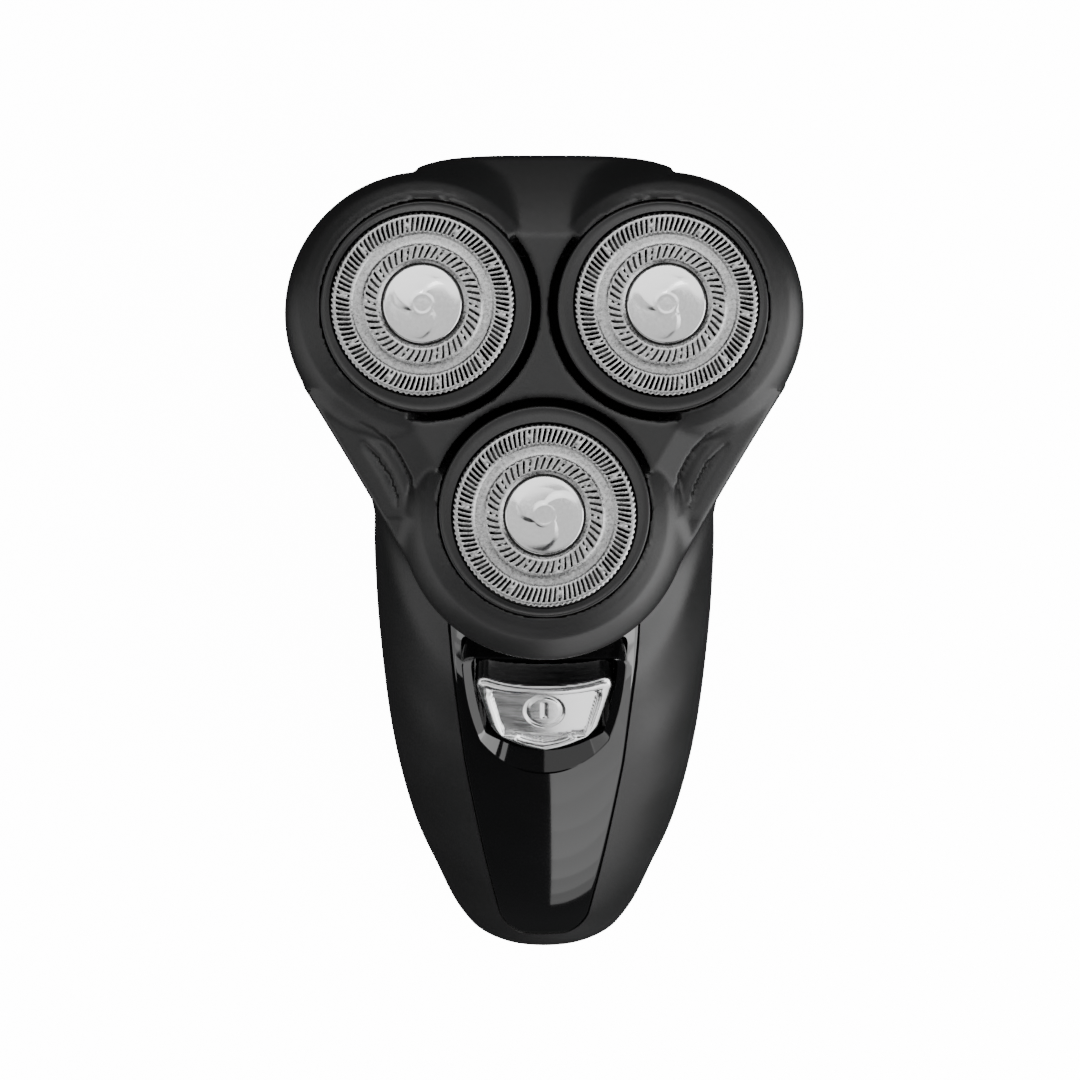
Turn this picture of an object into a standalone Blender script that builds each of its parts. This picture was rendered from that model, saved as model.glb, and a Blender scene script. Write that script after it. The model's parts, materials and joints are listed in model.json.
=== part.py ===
"""Rotary electric shaver with three cutters, lying on its back.

Sizes are in millimetres and become metres when a mesh is made. Everything is laid out in the
head's own frame: origin at the middle of the three cutters, on the plane of their tops; +X across
the head, +Y towards the lifting tab, +Z out of the cutters, so a depth behind the cutters is a
negative z. One empty carries that frame and lays the shaver down on the flat strip of its back.
"""
import math

import bmesh
import bpy
from mathutils import Vector

MM = 0.001
GAP = 0.3

# ---------------------------------------------------------------- head
PITCH_RADIUS = 17.6          # cutters' centres lie on this circle
GUARD_RADIUS = 11.42
CAP_RADIUS = 4.95
RING_RADIUS = 13.3           # outer edge of the ring round each guard
RING_SHIFT = 0.8             # that edge is off centre, towards the middle of the head
BORE_RADIUS = RING_RADIUS + GAP
COLLAR_RADIUS = 14.05        # head frame's wall round each bore, facing the valley
UPPER_LOBE = (14.8, 7.9, 18.0)
LOWER_LOBE = (0.0, -17.6, 18.2)
FLANK_TOP = (30.4, -1.1)
FLANK_FOOT = (15.4, -26.5)
FLANK_SAG = 0.7
TAB_TOP = 28.0
TAB_HALF_WIDTH = 16.2
VALLEY_Z = -3.0
CEILING_Z = -6.2             # underside of the head frame's top
SKIRT_Z = -15.8
HEAD_WALL = 2.2
HEAD_POINTS = 44
ROUND = 28                   # sides of the larger round pieces

# ---------------------------------------------------------------- handle
BACK_TILT = math.radians(62)  # between the cutters' normal and the back's flat strip
TOWARDS_TIP = (math.pi - BACK_TILT, 0, 0)  # turns local Z along the back, to the tip
WALL = 2.1
TIP_WALL = 1.0
FLAT_CUT = 0.6               # the back's ridge is cut flat by this much

# front line, back line (both as y, z), half width, place of the widest line, roundness at the front
STATIONS = (
    ((-29.0, -16.6), (25.5, -16.6), 30.5, 0.64, 1.60),
    ((-34.8, -20.0), (25.5, -22.0), 29.9, 0.66, 1.42),
    ((-38.8, -23.4), (24.0, -28.0), 25.2, 0.58, 1.60),
    ((-43.0, -27.4), (20.0, -34.5), 22.4, 0.48, 2.00),
    ((-48.3, -33.0), (15.0, -43.0), 22.5, 0.44, 2.10),
    ((-53.5, -38.6), (6.0, -51.8), 22.1, 0.40, 2.20),
    ((-60.0, -46.6), (-18.0, -64.6), 20.8, 0.40, 2.20),
    ((-66.5, -56.0), (-38.0, -75.2), 18.5, 0.42, 2.20),
    ((-71.6, -65.0), (-52.0, -82.7), 15.6, 0.45, 2.15),
    ((-75.2, -73.5), (-62.0, -88.0), 13.5, 0.50, 2.10),
    ((-77.2, -79.0), (-68.8, -91.0), 11.2, 0.50, 2.05),
    ((-78.0, -82.3), (-72.0, -92.0), 9.5, 0.50, 2.00),
    ((-78.4, -84.8), (-74.5, -92.1), 7.5, 0.50, 2.00),
)
BACK_ROUNDNESS = 2.6
TIP = len(STATIONS) - 1
HOUSING_ROWS = 18
HOUSING_COLUMNS = 13
STRIP_START = STATIONS[5][1]  # the flat strip's plane passes just inside this back point

# ---------------------------------------------------------------- front panel and switch
PANEL_TOP = 32.0             # distances down the front line are taken as -y
PANEL_FOOT = 76.0
PANEL_WIDTHS = ((31.5, 13.5), (52.6, 10.5), (63.8, 8.2), (73.0, 6.2))
PANEL_CORNER = 3.0
PANEL_THICKNESS = 1.1
SWITCH_Y = -43.9
SWITCH_Z = -28.4
SLOPE = math.radians(45.8)
OPENING_GAP = 0.45           # clearance round the bezel in panel and housing
TRAY_FLOOR = -5.0            # depth of the bezel's floor under the skin
TRAY_THICKNESS = 1.2
STEM_HALF = 1.6              # the slider's square stem
STEM_SLOT = ((-2.2, -3.0), (2.2, -3.0), (2.2, 6.4), (-2.2, 6.4))
SWITCH_DEPTH = -9.2          # middle of the slide switch
BOARD_TOP = -10.9
BOARD_SIZE = (20, 24)
BOARD_THICKNESS = 1.1

# ---------------------------------------------------------------- drive
GEAR_MODULE = 0.8
GEAR_TEETH = 26
PINION_TEETH = 18
PRESSURE_ANGLE = math.radians(20)
BACKLASH = 0.16
DECK_TOP = -14.9
DECK_BOTTOM = -16.4
GEAR_TOP = -19.6
GEAR_BOTTOM = -21.6
PLATE_TOP = -24.6
PLATE_BOTTOM = -26.1
SPINDLE_RADIUS = 1.5
MOTOR_LENGTH = 20.0
MOTOR_WIDTH = 20.4
MOTOR_THICKNESS = 15.4
BATTERY_RADIUS = 7.0
BATTERY_START = (-22.2, -55.4)
BATTERY_LENGTH = 42.0
SOCKET_LENGTH = 10.5
SOCKET_RECESS = (8.6, 4.3, 1.2)  # width, height and corner
PIN_RADIUS = 0.5
PIN_HALF_PITCH = 2.0
SCREWS = (("right", (16.0, -11.3)), ("left", (-16.0, -11.3)), ("upper", (0.0, 17.0)))
SEAL_RADIUS = 2.9
COUPLING_RADIUS = 3.4
RETAINER_TOP = -6.8
RETAINER_BOTTOM = -8.4
KNOB_SHAFT_RADIUS = 2.6

CUTTERS = (("right", 30), ("left", 150), ("lower", 270))


def clear_scene():
    for item in list(bpy.data.objects):
        bpy.data.objects.remove(item, do_unlink=True)


def material(name, colour, roughness, metallic=0.0):
    """Each sub-part's own plain material."""
    made = bpy.data.materials.new(name)
    made.use_nodes = True
    shader = made.node_tree.nodes["Principled BSDF"]
    shader.inputs["Base Color"].default_value = (*colour, 1.0)
    shader.inputs["Roughness"].default_value = roughness
    shader.inputs["Metallic"].default_value = metallic
    return made


FINISHES = {
    "black_plastic": ((0.020, 0.020, 0.022), 0.42, 0.0),
    "gloss_black": ((0.008, 0.008, 0.009), 0.08, 0.0),
    "steel": ((0.62, 0.62, 0.63), 0.28, 1.0),
    "bright_steel": ((0.80, 0.80, 0.81), 0.12, 1.0),
    "satin_silver": ((0.70, 0.70, 0.72), 0.25, 0.9),
    "grey_plastic": ((0.20, 0.20, 0.21), 0.5, 0.0),
    "white_plastic": ((0.75, 0.74, 0.70), 0.45, 0.0),
    "rubber": ((0.03, 0.03, 0.03), 0.8, 0.0),
    "board_green": ((0.03, 0.16, 0.07), 0.5, 0.0),
    "brass": ((0.72, 0.52, 0.22), 0.3, 1.0),
    "cell_wrap": ((0.05, 0.18, 0.45), 0.4, 0.0),
}


# ---------------------------------------------------------------- mesh helpers

def make_object(name, verts, faces, finish, place=(0, 0, 0), turn=(0, 0, 0), sharp=35):
    """Build one named object from millimetre points, in the head's frame."""
    mesh = bpy.data.meshes.new(name)
    mesh.from_pydata([Vector(point) * MM for point in verts], [], faces)
    shape = bmesh.new()
    shape.from_mesh(mesh)
    bmesh.ops.recalc_face_normals(shape, faces=shape.faces)
    shape.to_mesh(mesh)
    shape.free()
    mesh.shade_smooth()
    mesh.set_sharp_from_angle(angle=math.radians(sharp))
    item = bpy.data.objects.new(name, mesh)
    bpy.context.collection.objects.link(item)
    item.parent = bpy.data.objects["shaver_frame"]
    item.location = Vector(place) * MM
    item.rotation_euler = turn
    if finish is None:
        item.hide_render = True
        item.display_type = "WIRE"
    else:
        mesh.materials.append(material(name, *FINISHES[finish]))
    return item


def loft(rings):
    """Skin a stack of closed rings, with a flat cap at both ends."""
    count = len(rings[0])
    verts = [point for ring in rings for point in ring]
    faces = []
    for row in range(len(rings) - 1):
        for col in range(count):
            nxt = (col + 1) % count
            low = row * count
            faces.append((low + col, low + nxt, low + count + nxt, low + count + col))
    faces.append(tuple(range(count)))
    faces.append(tuple(range(len(verts) - count, len(verts))))
    return verts, faces


def prism(outline, low, high):
    return loft([[(x, y, z) for x, y in outline] for z in (low, high)])


def lathe(profile, segments, closed=True):
    """Turn (radius, z) points about Z. An open profile starts and ends on the axis."""
    verts, rings, faces = [], [], []
    for radius, z in profile:
        if radius == 0:
            rings.append([len(verts)])
            verts.append((0, 0, z))
            continue
        rings.append(list(range(len(verts), len(verts) + segments)))
        for step in range(segments):
            angle = math.tau * step / segments
            verts.append((radius * math.cos(angle), radius * math.sin(angle), z))
    pairs = list(zip(rings, rings[1:]))
    if closed:
        pairs.append((rings[-1], rings[0]))
    for first, second in pairs:
        for step in range(segments):
            nxt = (step + 1) % segments
            corners = [first[step % len(first)], first[nxt % len(first)],
                       second[nxt % len(second)], second[step % len(second)]]
            faces.append(tuple(dict.fromkeys(corners)))
    return verts, faces


def thick_sheet(outer, inner):
    """Close two matching grids of points into one solid shell."""
    rows, cols = len(outer), len(outer[0])
    verts = [point for grid in (outer, inner) for row in grid for point in row]
    under = rows * cols
    faces = []
    for row in range(rows - 1):
        for col in range(cols - 1):
            corner = row * cols + col
            quad = (corner, corner + 1, corner + cols + 1, corner + cols)
            faces.append(quad)
            faces.append(tuple(under + index for index in reversed(quad)))
    border = list(range(cols))
    border += [row * cols + cols - 1 for row in range(1, rows)]
    border += [(rows - 1) * cols + col for col in range(cols - 2, -1, -1)]
    border += [row * cols for row in range(rows - 2, 0, -1)]
    for first, second in zip(border, border[1:] + border[:1]):
        faces.append((first, under + first, under + second, second))
    return verts, faces


def box(size, centre=(0, 0, 0)):
    half = [length / 2 for length in size]
    outline = [(centre[0] + sx * half[0], centre[1] + sy * half[1])
               for sx, sy in ((-1, -1), (1, -1), (1, 1), (-1, 1))]
    return prism(outline, centre[2] - half[2], centre[2] + half[2])


def circle(radius, count, centre=(0, 0), start=0.0):
    return [(centre[0] + radius * math.cos(start + math.tau * step / count),
             centre[1] + radius * math.sin(start + math.tau * step / count))
            for step in range(count)]


def rounded_box(width, height, corner, steps=4):
    """Outline of a rectangle with round corners."""
    points = []
    for quarter, (sx, sy) in enumerate(((1, 1), (-1, 1), (-1, -1), (1, -1))):
        for step in range(steps + 1):
            angle = math.pi / 2 * (quarter + step / steps)
            points.append((sx * (width / 2 - corner) + corner * math.cos(angle),
                           sy * (height / 2 - corner) + corner * math.sin(angle)))
    return points


def boolean(target, tool, operation="DIFFERENCE"):
    """Add an exact Boolean with a hidden tool object."""
    change = target.modifiers.new(tool.name, "BOOLEAN")
    change.operation = operation
    change.solver = "EXACT"
    change.object = tool


def tool_object(name, shape, place=(0, 0, 0), turn=(0, 0, 0)):
    return make_object(name, *shape, None, place, turn)


# ---------------------------------------------------------------- outlines of head and rim

def cutter_centre(degrees, shift=0.0):
    angle = math.radians(degrees)
    return (PITCH_RADIUS - shift) * math.cos(angle), (PITCH_RADIUS - shift) * math.sin(angle)


def in_head(x, y, inset):
    """True inside the head's outline, drawn in by inset: lobes, hollowed flanks and tab."""
    x = abs(x)
    if math.hypot(x - UPPER_LOBE[0], y - UPPER_LOBE[1]) < UPPER_LOBE[2] - inset:
        return True
    if math.hypot(x, y - LOWER_LOBE[1]) < LOWER_LOBE[2] - inset:
        return True
    tab_edge = TAB_TOP - 0.7 * (x / 13) ** 4
    if y > UPPER_LOBE[1]:
        return x < TAB_HALF_WIDTH - inset and y < tab_edge - inset
    along = Vector(FLANK_FOOT) - Vector(FLANK_TOP)
    length = along.length
    along.normalize()
    offset = Vector((x, y)) - Vector(FLANK_TOP)
    travelled = offset.dot(along)
    outside = offset.x * -along.y + offset.y * along.x
    sag = FLANK_SAG * (1 - (2 * travelled / length - 1) ** 2)
    return 0 < travelled < length and outside < -sag - inset


def in_rim(x, y, inset):
    """True inside the neck's egg-shaped rim, drawn in by inset."""
    (front, _), (back, _), half_width, split, roundness = STATIONS[0]
    middle = front + split * (back - front)
    reach = (middle - front if y < middle else back - middle) - inset
    power = roundness if y < middle else BACK_ROUNDNESS
    return (abs(x) / (half_width - inset)) ** power + (abs(y - middle) / reach) ** power < 1


def polar_outline(inside, inset, count):
    """Walk round the origin and find where each ray leaves the shape."""
    points = []
    for step in range(count):
        angle = math.tau * (step + 0.5) / count
        near, far = 0.0, 45.0
        for _ in range(30):
            middle = (near + far) / 2
            if inside(middle * math.cos(angle), middle * math.sin(angle), inset):
                near = middle
            else:
                far = middle
        points.append((near * math.cos(angle), near * math.sin(angle)))
    return points


# ---------------------------------------------------------------- skin of the handle

def blend_points(values, place):
    """Catmull-Rom value at a fractional station."""
    index = min(int(place), len(values) - 2)
    part = place - index
    before, first = values[max(index - 1, 0)], values[index]
    second, after = values[index + 1], values[min(index + 2, len(values) - 1)]
    return (first + 0.5 * part * (second - before
            + part * (2 * before - 5 * first + 4 * second - after
                      + part * (3 * (first - second) + after - before))))


def section(place):
    """Front point, back point (y, z), half width, split and front roundness at a station."""
    rows = [(*head, *tail, width, split, roundness) for head, tail, width, split, roundness in STATIONS]
    fy, fz, by, bz, width, split, roundness = (blend_points(values, place) for values in zip(*rows))
    return Vector((fy, fz)), Vector((by, bz)), width, split, roundness


def wall_at(place):
    return WALL + (TIP_WALL - WALL) * max(0.0, (place - 8) / (TIP - 8))


def towards_back(point):
    """Distance of a (y, z) point along the normal of the back's flat strip."""
    return math.cos(BACK_TILT) * point[0] - math.sin(BACK_TILT) * point[1]


BACK_PLANE = towards_back(STRIP_START) - FLAT_CUT


def slant(place, front):
    """Cosine between a station's depth and the normal of the front or back line there."""
    side = 0 if front else 1
    before, after = max(place - 0.1, 0.0), min(place + 0.1, float(TIP))
    along = (section(after)[side] - section(before)[side]).normalized()
    deep = (section(place)[1] - section(place)[0]).normalized()
    return max(abs(along.cross(deep)), 0.5)


def skin(place, x, front=True, inset=0.0):
    """Point of the handle's skin at a station and a distance x off the middle."""
    head, tail, width, split, roundness = section(place)
    deep = tail - head
    middle = head + deep * split
    reach = deep.length * (split if front else 1 - split)
    if inset:
        reach -= inset / slant(place, front)
    power = roundness if front else BACK_ROUNDNESS
    share = min(abs(x) / (width - inset), 1.0)
    height = max(reach * (1 - share ** power) ** (1 / power), GAP / 2)
    inward = deep.normalized()
    point = middle + inward * (-height if front else height)
    past = towards_back(point) + inset - BACK_PLANE
    if not front and past > 0:
        point -= inward * past / towards_back(inward)
    return Vector((x, point[0], point[1]))


def half_ring(place, front, inset, count):
    """Points over the front or the back of one station, from +X to -X."""
    width, roundness = section(place)[2], section(place)[4]
    power = roundness if front else BACK_ROUNDNESS
    points = []
    for step in range(count):
        angle = math.pi * step / (count - 1)
        x = (width - inset) * math.copysign(abs(math.cos(angle)) ** (2 / power), math.cos(angle))
        points.append(skin(place, x, front, inset))
    return points


def front_station(down):
    """Station whose front point lies this far down the front line."""
    near, far = 0.0, float(TIP)
    for _ in range(30):
        middle = (near + far) / 2
        if -section(middle)[0][0] < down:
            near = middle
        else:
            far = middle
    return near


# ---------------------------------------------------------------- housings

def half_shell(front):
    """One half of the handle, as a shell with its wall's thickness."""
    places = [TIP * row / (HOUSING_ROWS - 1) for row in range(HOUSING_ROWS)]
    outer = [half_ring(place, front, 0.0, HOUSING_COLUMNS) for place in places]
    inner = [half_ring(place, front, wall_at(place), HOUSING_COLUMNS) for place in places]
    return thick_sheet(outer, inner)


def build_housings():
    make_object("rear_housing", *half_shell(front=False), "black_plastic", sharp=40)
    front = make_object("front_housing", *half_shell(front=True), "black_plastic", sharp=40)
    pocket = panel_shape(GAP, -3.0, PANEL_THICKNESS + GAP)
    boolean(front, tool_object("panel_pocket", pocket))
    boolean(front, switch_tool("housing_opening", depth=10.0))


# ---------------------------------------------------------------- front panel

def panel_half_width(down):
    for (low, first), (high, second) in zip(PANEL_WIDTHS, PANEL_WIDTHS[1:]):
        if down <= high:
            return first + (second - first) * (down - low) / (high - low)
    return PANEL_WIDTHS[-1][1] - 0.3 * (down - PANEL_WIDTHS[-1][0])


def panel_outline_width(down, grow):
    """Half width of the panel, with round corners at its foot."""
    width = panel_half_width(down) + grow
    left = PANEL_FOOT + grow - down
    if left < PANEL_CORNER:
        width -= PANEL_CORNER - math.sqrt(max(PANEL_CORNER ** 2 - (PANEL_CORNER - left) ** 2, 0))
    return width


def sunk_point(down, x, depth):
    """Point of the front skin, moved inwards along the skin's normal."""
    here = skin(front_station(down), x)
    along = skin(front_station(down + 0.5), x) - here
    across = skin(front_station(down), x + 0.2) - skin(front_station(down), x - 0.2)
    normal = across.cross(along).normalized()
    return here + normal * depth


def panel_shape(grow, high, low, rows=11, cols=9):
    """Curved plate that follows the front skin between two depths."""
    downs = [PANEL_TOP - grow + (PANEL_FOOT + grow - 3 - PANEL_TOP) * row / rows for row in range(rows)]
    downs += [PANEL_FOOT + grow - left for left in (3.0, 1.8, 0.8, 0.2, 0.0)]
    grids = []
    for depth in (high, low):
        grid = []
        for down in downs:
            width = panel_outline_width(down, grow)
            grid.append([sunk_point(down, width * (1 - 2 * col / (cols - 1)), depth) for col in range(cols)])
        grids.append(grid)
    return thick_sheet(*grids)


def build_front_panel():
    panel = make_object("front_panel", *panel_shape(0.0, 0.0, PANEL_THICKNESS), "gloss_black")
    boolean(panel, switch_tool("panel_opening", depth=8.0))


# ---------------------------------------------------------------- switch

def switch_frame(x, up, out):
    """Point given across, up the slope and out of the surface at the switch."""
    return Vector((x, SWITCH_Y + up * math.cos(SLOPE) - out * math.sin(SLOPE),
                   SWITCH_Z + up * math.sin(SLOPE) + out * math.cos(SLOPE)))


def shield(top, foot, half_width, taper, count=7, dip=0.0):
    """Shield outline: wide top with an optional dip, sides drawn in, round foot."""
    shoulder = foot + (top - foot) * 0.42
    right = [(half_width - 0.6, top), (half_width, top - 1.0)]
    lower = half_width - taper
    right += [(half_width - taper * 0.4, (top + shoulder) / 2)]
    for step in range(count):
        angle = math.pi / 2 * step / (count - 1)
        right.append((lower * math.cos(angle), shoulder - (shoulder - foot) * math.sin(angle) ** 1.6))
    left = [(-x, up) for x, up in reversed(right[:-1])]
    return right + left + [(0, top - dip)]


RIM_OUTLINE = shield(top=10.9, foot=-10.9, half_width=10.7, taper=2.0)
OPENING_OUTLINE = shield(top=10.3, foot=-7.8, half_width=9.4, taper=1.0)
SLIDER_OUTLINE = shield(top=7.2, foot=-7.0, half_width=8.9, taper=1.7, dip=1.5)


def grown(outline, grow):
    """Outline scaled outwards so that its sides move by about grow."""
    return [(x * (1 + grow / 9), up * (1 + grow / 9)) for x, up in outline]


def switch_tool(name, depth):
    """Cutter through the skin along the outline of the switch bezel."""
    outline = grown(RIM_OUTLINE, OPENING_GAP)
    rings = [[switch_frame(x, up, out) for x, up in outline] for out in (6.0, -depth)]
    return tool_object(name, loft(rings))


def skin_height(x, up):
    """Height of the front skin above the switch's plane, along its normal."""
    low, high = -12.0, 6.0
    for _ in range(24):
        out = (low + high) / 2
        point = switch_frame(x, up, out)
        surface = skin(front_station(-point.y), x)
        if surface.z > point.z:
            low = out
        else:
            high = out
    return low


def build_switch_bezel():
    """Tray under the opening: chamfered top, walls and a floor with the stem's slot."""
    def ring(outline, height):
        return [switch_frame(x, up, height(x, up)) for x, up in outline]

    outer = grown(RIM_OUTLINE, -0.05)
    base = grown(OPENING_OUTLINE, 0.7)
    rings = [ring(base, lambda x, up: TRAY_FLOOR - TRAY_THICKNESS),
             ring(base, lambda x, up: min(TRAY_FLOOR, skin_height(x, up) - 3.2)),
             ring(outer, lambda x, up: skin_height(x, up) - 1.9),
             ring(outer, lambda x, up: skin_height(x, up) - 0.1),
             ring(OPENING_OUTLINE, lambda x, up: skin_height(x, up) - 1.3),
             ring(OPENING_OUTLINE, lambda x, up: TRAY_FLOOR)]
    bezel = make_object("switch_bezel", *loft(rings), "gloss_black")
    slot = [[switch_frame(x, up, out) for x, up in STEM_SLOT] for out in (TRAY_FLOOR - 3, TRAY_FLOOR + 3)]
    boolean(bezel, tool_object("stem_slot", loft(slot)))


def build_power_slider():
    """Shield-shaped slider with a raised edge, a stem under it and the switch lever below."""
    place = switch_frame(0, 0, 0)
    turn = (SLOPE, 0, 0)

    def ring(shrink, height, bow=0.016):
        return [(x * shrink, up * shrink, height - bow * x * x) for x, up in SLIDER_OUTLINE]

    stem = box((2 * STEM_HALF, 3.6, 3.6), (0, 0, -4.8))
    rings = [ring(0.97, -4.6, 0.0), ring(1.0, -4.1, 0.0), ring(1.0, -0.9), ring(0.93, -0.3),
             ring(0.80, -0.4), ring(0.74, -0.7)]
    slider = make_object("power_slider", *loft(rings), "satin_silver", place, turn)
    boolean(slider, tool_object("slider_stem", stem, place, turn), "UNION")
    make_object("switch_lever", *box((1.6, 2.4, 2.6), (0, 0, -8.3)), "white_plastic", place, turn)


def build_circuit():
    """Board under the front, with the slide switch on it."""
    place = switch_frame(0, 0, 0)
    turn = (SLOPE, 0, 0)
    case = box((12, 9.0, 2.8), (0, 1.5, SWITCH_DEPTH))
    body = make_object("slide_switch", *case, "grey_plastic", place, turn)
    slot = box((2.4, 6.4, 3.0), (0, 1.5, SWITCH_DEPTH + 0.6))
    boolean(body, tool_object("lever_slot", slot, place, turn))
    board = prism(rounded_box(*BOARD_SIZE, 1.5), BOARD_TOP - BOARD_THICKNESS, BOARD_TOP)
    make_object("circuit_board", *board, "board_green", place, turn)


# ---------------------------------------------------------------- battery, motor and socket

def build_battery():
    """Cell along the back, with a welded tab at each end. Its local Z runs to the tip."""
    turn = TOWARDS_TIP
    start = Vector((0, BATTERY_START[0], BATTERY_START[1]))
    body = [(0, 0.5), (BATTERY_RADIUS - 0.8, 0.5), (BATTERY_RADIUS, 1.1),
            (BATTERY_RADIUS, BATTERY_LENGTH - 1.6), (BATTERY_RADIUS - 0.8, BATTERY_LENGTH - 1.0),
            (2.6, BATTERY_LENGTH - 1.0), (2.6, BATTERY_LENGTH), (0, BATTERY_LENGTH)]
    make_object("battery", *lathe(body, 28, closed=False), "cell_wrap", start, turn)
    make_object("battery_tab_inner", *box((5, 8, 0.4), (0, 0, -0.1)), "steel", start, turn)
    tab = box((4, 6, 0.4), (0, 0, BATTERY_LENGTH + 0.5))
    make_object("battery_tab_outer", *tab, "steel", start, turn)


def build_motor():
    """Flattened can behind the gear plate, with its bearing boss."""
    flat = [(x, max(-MOTOR_THICKNESS / 2, min(MOTOR_THICKNESS / 2, y)))
            for x, y in circle(MOTOR_WIDTH / 2, 32)]
    top = PLATE_BOTTOM - GAP
    can = [[(x * size, y * size, z) for x, y in flat]
           for size, z in ((0.94, top - MOTOR_LENGTH), (1.0, top - MOTOR_LENGTH + 0.8),
                           (1.0, top - 0.8), (0.94, top))]
    motor = make_object("motor", *loft(can), "steel")
    boss = lathe([(0, top - 3), (3.1, top - 3), (3.1, top + 1.0), (0, top + 1.0)], 20, closed=False)
    boolean(motor, tool_object("motor_boss", boss), "UNION")


def build_charging_socket():
    """Insert in the tip, with a recess along the handle and two pins."""
    head, tail, width, split, _ = section(TIP)
    middle = (head + tail) / 2
    reach = (tail - head).length / 2 - TIP_WALL - 2 * GAP
    turn = TOWARDS_TIP
    wide = width - TIP_WALL - 2 * GAP
    face = [(wide * math.cos(a), reach * math.sin(a)) for a in [math.tau * k / 28 for k in range(28)]]
    place = (0, middle[0], middle[1])
    socket = make_object("charging_socket", *prism(face, -SOCKET_LENGTH, -0.1), "black_plastic", place, turn)
    recess = prism(rounded_box(*SOCKET_RECESS), -8.2, 3.0)
    boolean(socket, tool_object("socket_recess", recess, place, turn))
    for side, x in (("left", -PIN_HALF_PITCH), ("right", PIN_HALF_PITCH)):
        hole = prism(circle(PIN_RADIUS + GAP, 12, (x, 0)), -12, 3)
        boolean(socket, tool_object("pin_hole_" + side, hole, place, turn))
        pin = [(0, -11.2), (PIN_RADIUS, -11.2), (PIN_RADIUS, -4.9), (PIN_RADIUS - 0.2, -4.6), (0, -4.6)]
        item = make_object("charging_pin_" + side, *lathe(pin, 12, closed=False), "brass", place, turn)
        item.location = Vector(place) * MM + item.rotation_euler.to_matrix() @ Vector((x * MM, 0, 0))


# ---------------------------------------------------------------- drive

def involute_gear(teeth, turn):
    """Outline of a spur gear with a tooth at the given angle."""
    pitch = GEAR_MODULE * teeth / 2
    base = pitch * math.cos(PRESSURE_ANGLE)
    root, tip = pitch - 1.15 * GEAR_MODULE, pitch + 0.85 * GEAR_MODULE
    half = (math.pi * GEAR_MODULE / 2 - BACKLASH) / 2 / pitch

    def half_angle(radius):
        pressure = math.acos(min(base / radius, 1.0))
        return half + (math.tan(PRESSURE_ANGLE) - PRESSURE_ANGLE) - (math.tan(pressure) - pressure)

    radii = [root, tip]
    outline = []
    for tooth in range(teeth):
        middle = turn + math.tau * tooth / teeth
        for side, flank in ((-1, radii), (1, radii[::-1])):
            for radius in flank:
                angle = middle + side * half_angle(radius)
                outline.append((radius * math.cos(angle), radius * math.sin(angle)))
    return outline


def build_pinion():
    outline = involute_gear(PINION_TEETH, math.radians(CUTTERS[0][1]))
    pinion = make_object("motor_pinion", *prism(outline, GEAR_BOTTOM - 0.2, GEAR_TOP + 0.2), "brass")
    shaft = lathe([(0, -24.9), (1.0, -24.9), (1.0, -19.0), (0, -19.0)], 16, closed=False)
    boolean(pinion, tool_object("pinion_shaft", shaft), "UNION")


def build_drive_train(side, degrees):
    """Gear, spindle, spring and seal of one cutter. Each origin is on the spindle's axis."""
    x, y = cutter_centre(degrees)
    place = (x, y, 0)
    phase = math.radians(degrees) + math.pi + math.pi / GEAR_TEETH
    gear = make_object("drive_gear_" + side, *prism(involute_gear(GEAR_TEETH, phase), GEAR_BOTTOM, GEAR_TOP),
                       "white_plastic", place)
    hub = lathe([(0, GEAR_BOTTOM), (3.4, GEAR_BOTTOM), (3.4, GEAR_TOP + 1.2), (0, GEAR_TOP + 1.2)],
                20, closed=False)
    boolean(gear, tool_object("gear_hub_" + side, hub, place), "UNION")
    bore = lathe([(0, -30), (SPINDLE_RADIUS + GAP, -30), (SPINDLE_RADIUS + GAP, -10), (0, -10)],
                 16, closed=False)
    boolean(gear, tool_object("gear_bore_" + side, bore, place))

    tip = [(0, -7.6), (0.8, -7.6), (1.15, -8.0), (1.15, -11.4)]
    spindle = tip + [(SPINDLE_RADIUS, -11.8), (SPINDLE_RADIUS, -25.8), (0, -25.8)]
    make_object("drive_spindle_" + side, *lathe(spindle, 16, closed=False), "steel", place)
    make_object("spindle_spring_" + side, *coil(2.55, 0.28, 3.0, -24.3, -21.95), "steel", place)
    seal = [(SPINDLE_RADIUS + 0.2, DECK_BOTTOM + 0.2), (SEAL_RADIUS, DECK_BOTTOM + 0.2),
            (SEAL_RADIUS, DECK_TOP + 0.2), (2.2, DECK_TOP + 0.6), (SPINDLE_RADIUS + 0.2, DECK_TOP + 0.4)]
    make_object("spindle_seal_" + side, *lathe(seal, 20), "rubber", place)


def coil(radius, wire, turns, low, high, steps=10, sides=4):
    """Round-wire helix with flat ends."""
    rings = []
    total = int(turns * steps)
    for step in range(total + 1):
        angle = math.tau * step / steps
        centre = Vector((radius * math.cos(angle), radius * math.sin(angle),
                         low + wire + (high - low - 2 * wire) * step / total))
        outward = Vector((math.cos(angle), math.sin(angle), 0))
        rings.append([centre + outward * wire * math.cos(math.tau * k / sides)
                      + Vector((0, 0, wire * math.sin(math.tau * k / sides))) for k in range(sides)])
    return loft(rings)


def lobed_plate(reach, waist, count=60):
    """Three-lobed outline round the cutters' centres."""
    points = []
    for step in range(count):
        angle = math.tau * step / count
        lobe = (1 + math.cos(3 * (angle - math.radians(CUTTERS[0][1])))) / 2
        radius = waist + (PITCH_RADIUS + reach - waist) * lobe ** 1.3
        points.append((radius * math.cos(angle), radius * math.sin(angle)))
    return points


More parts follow.
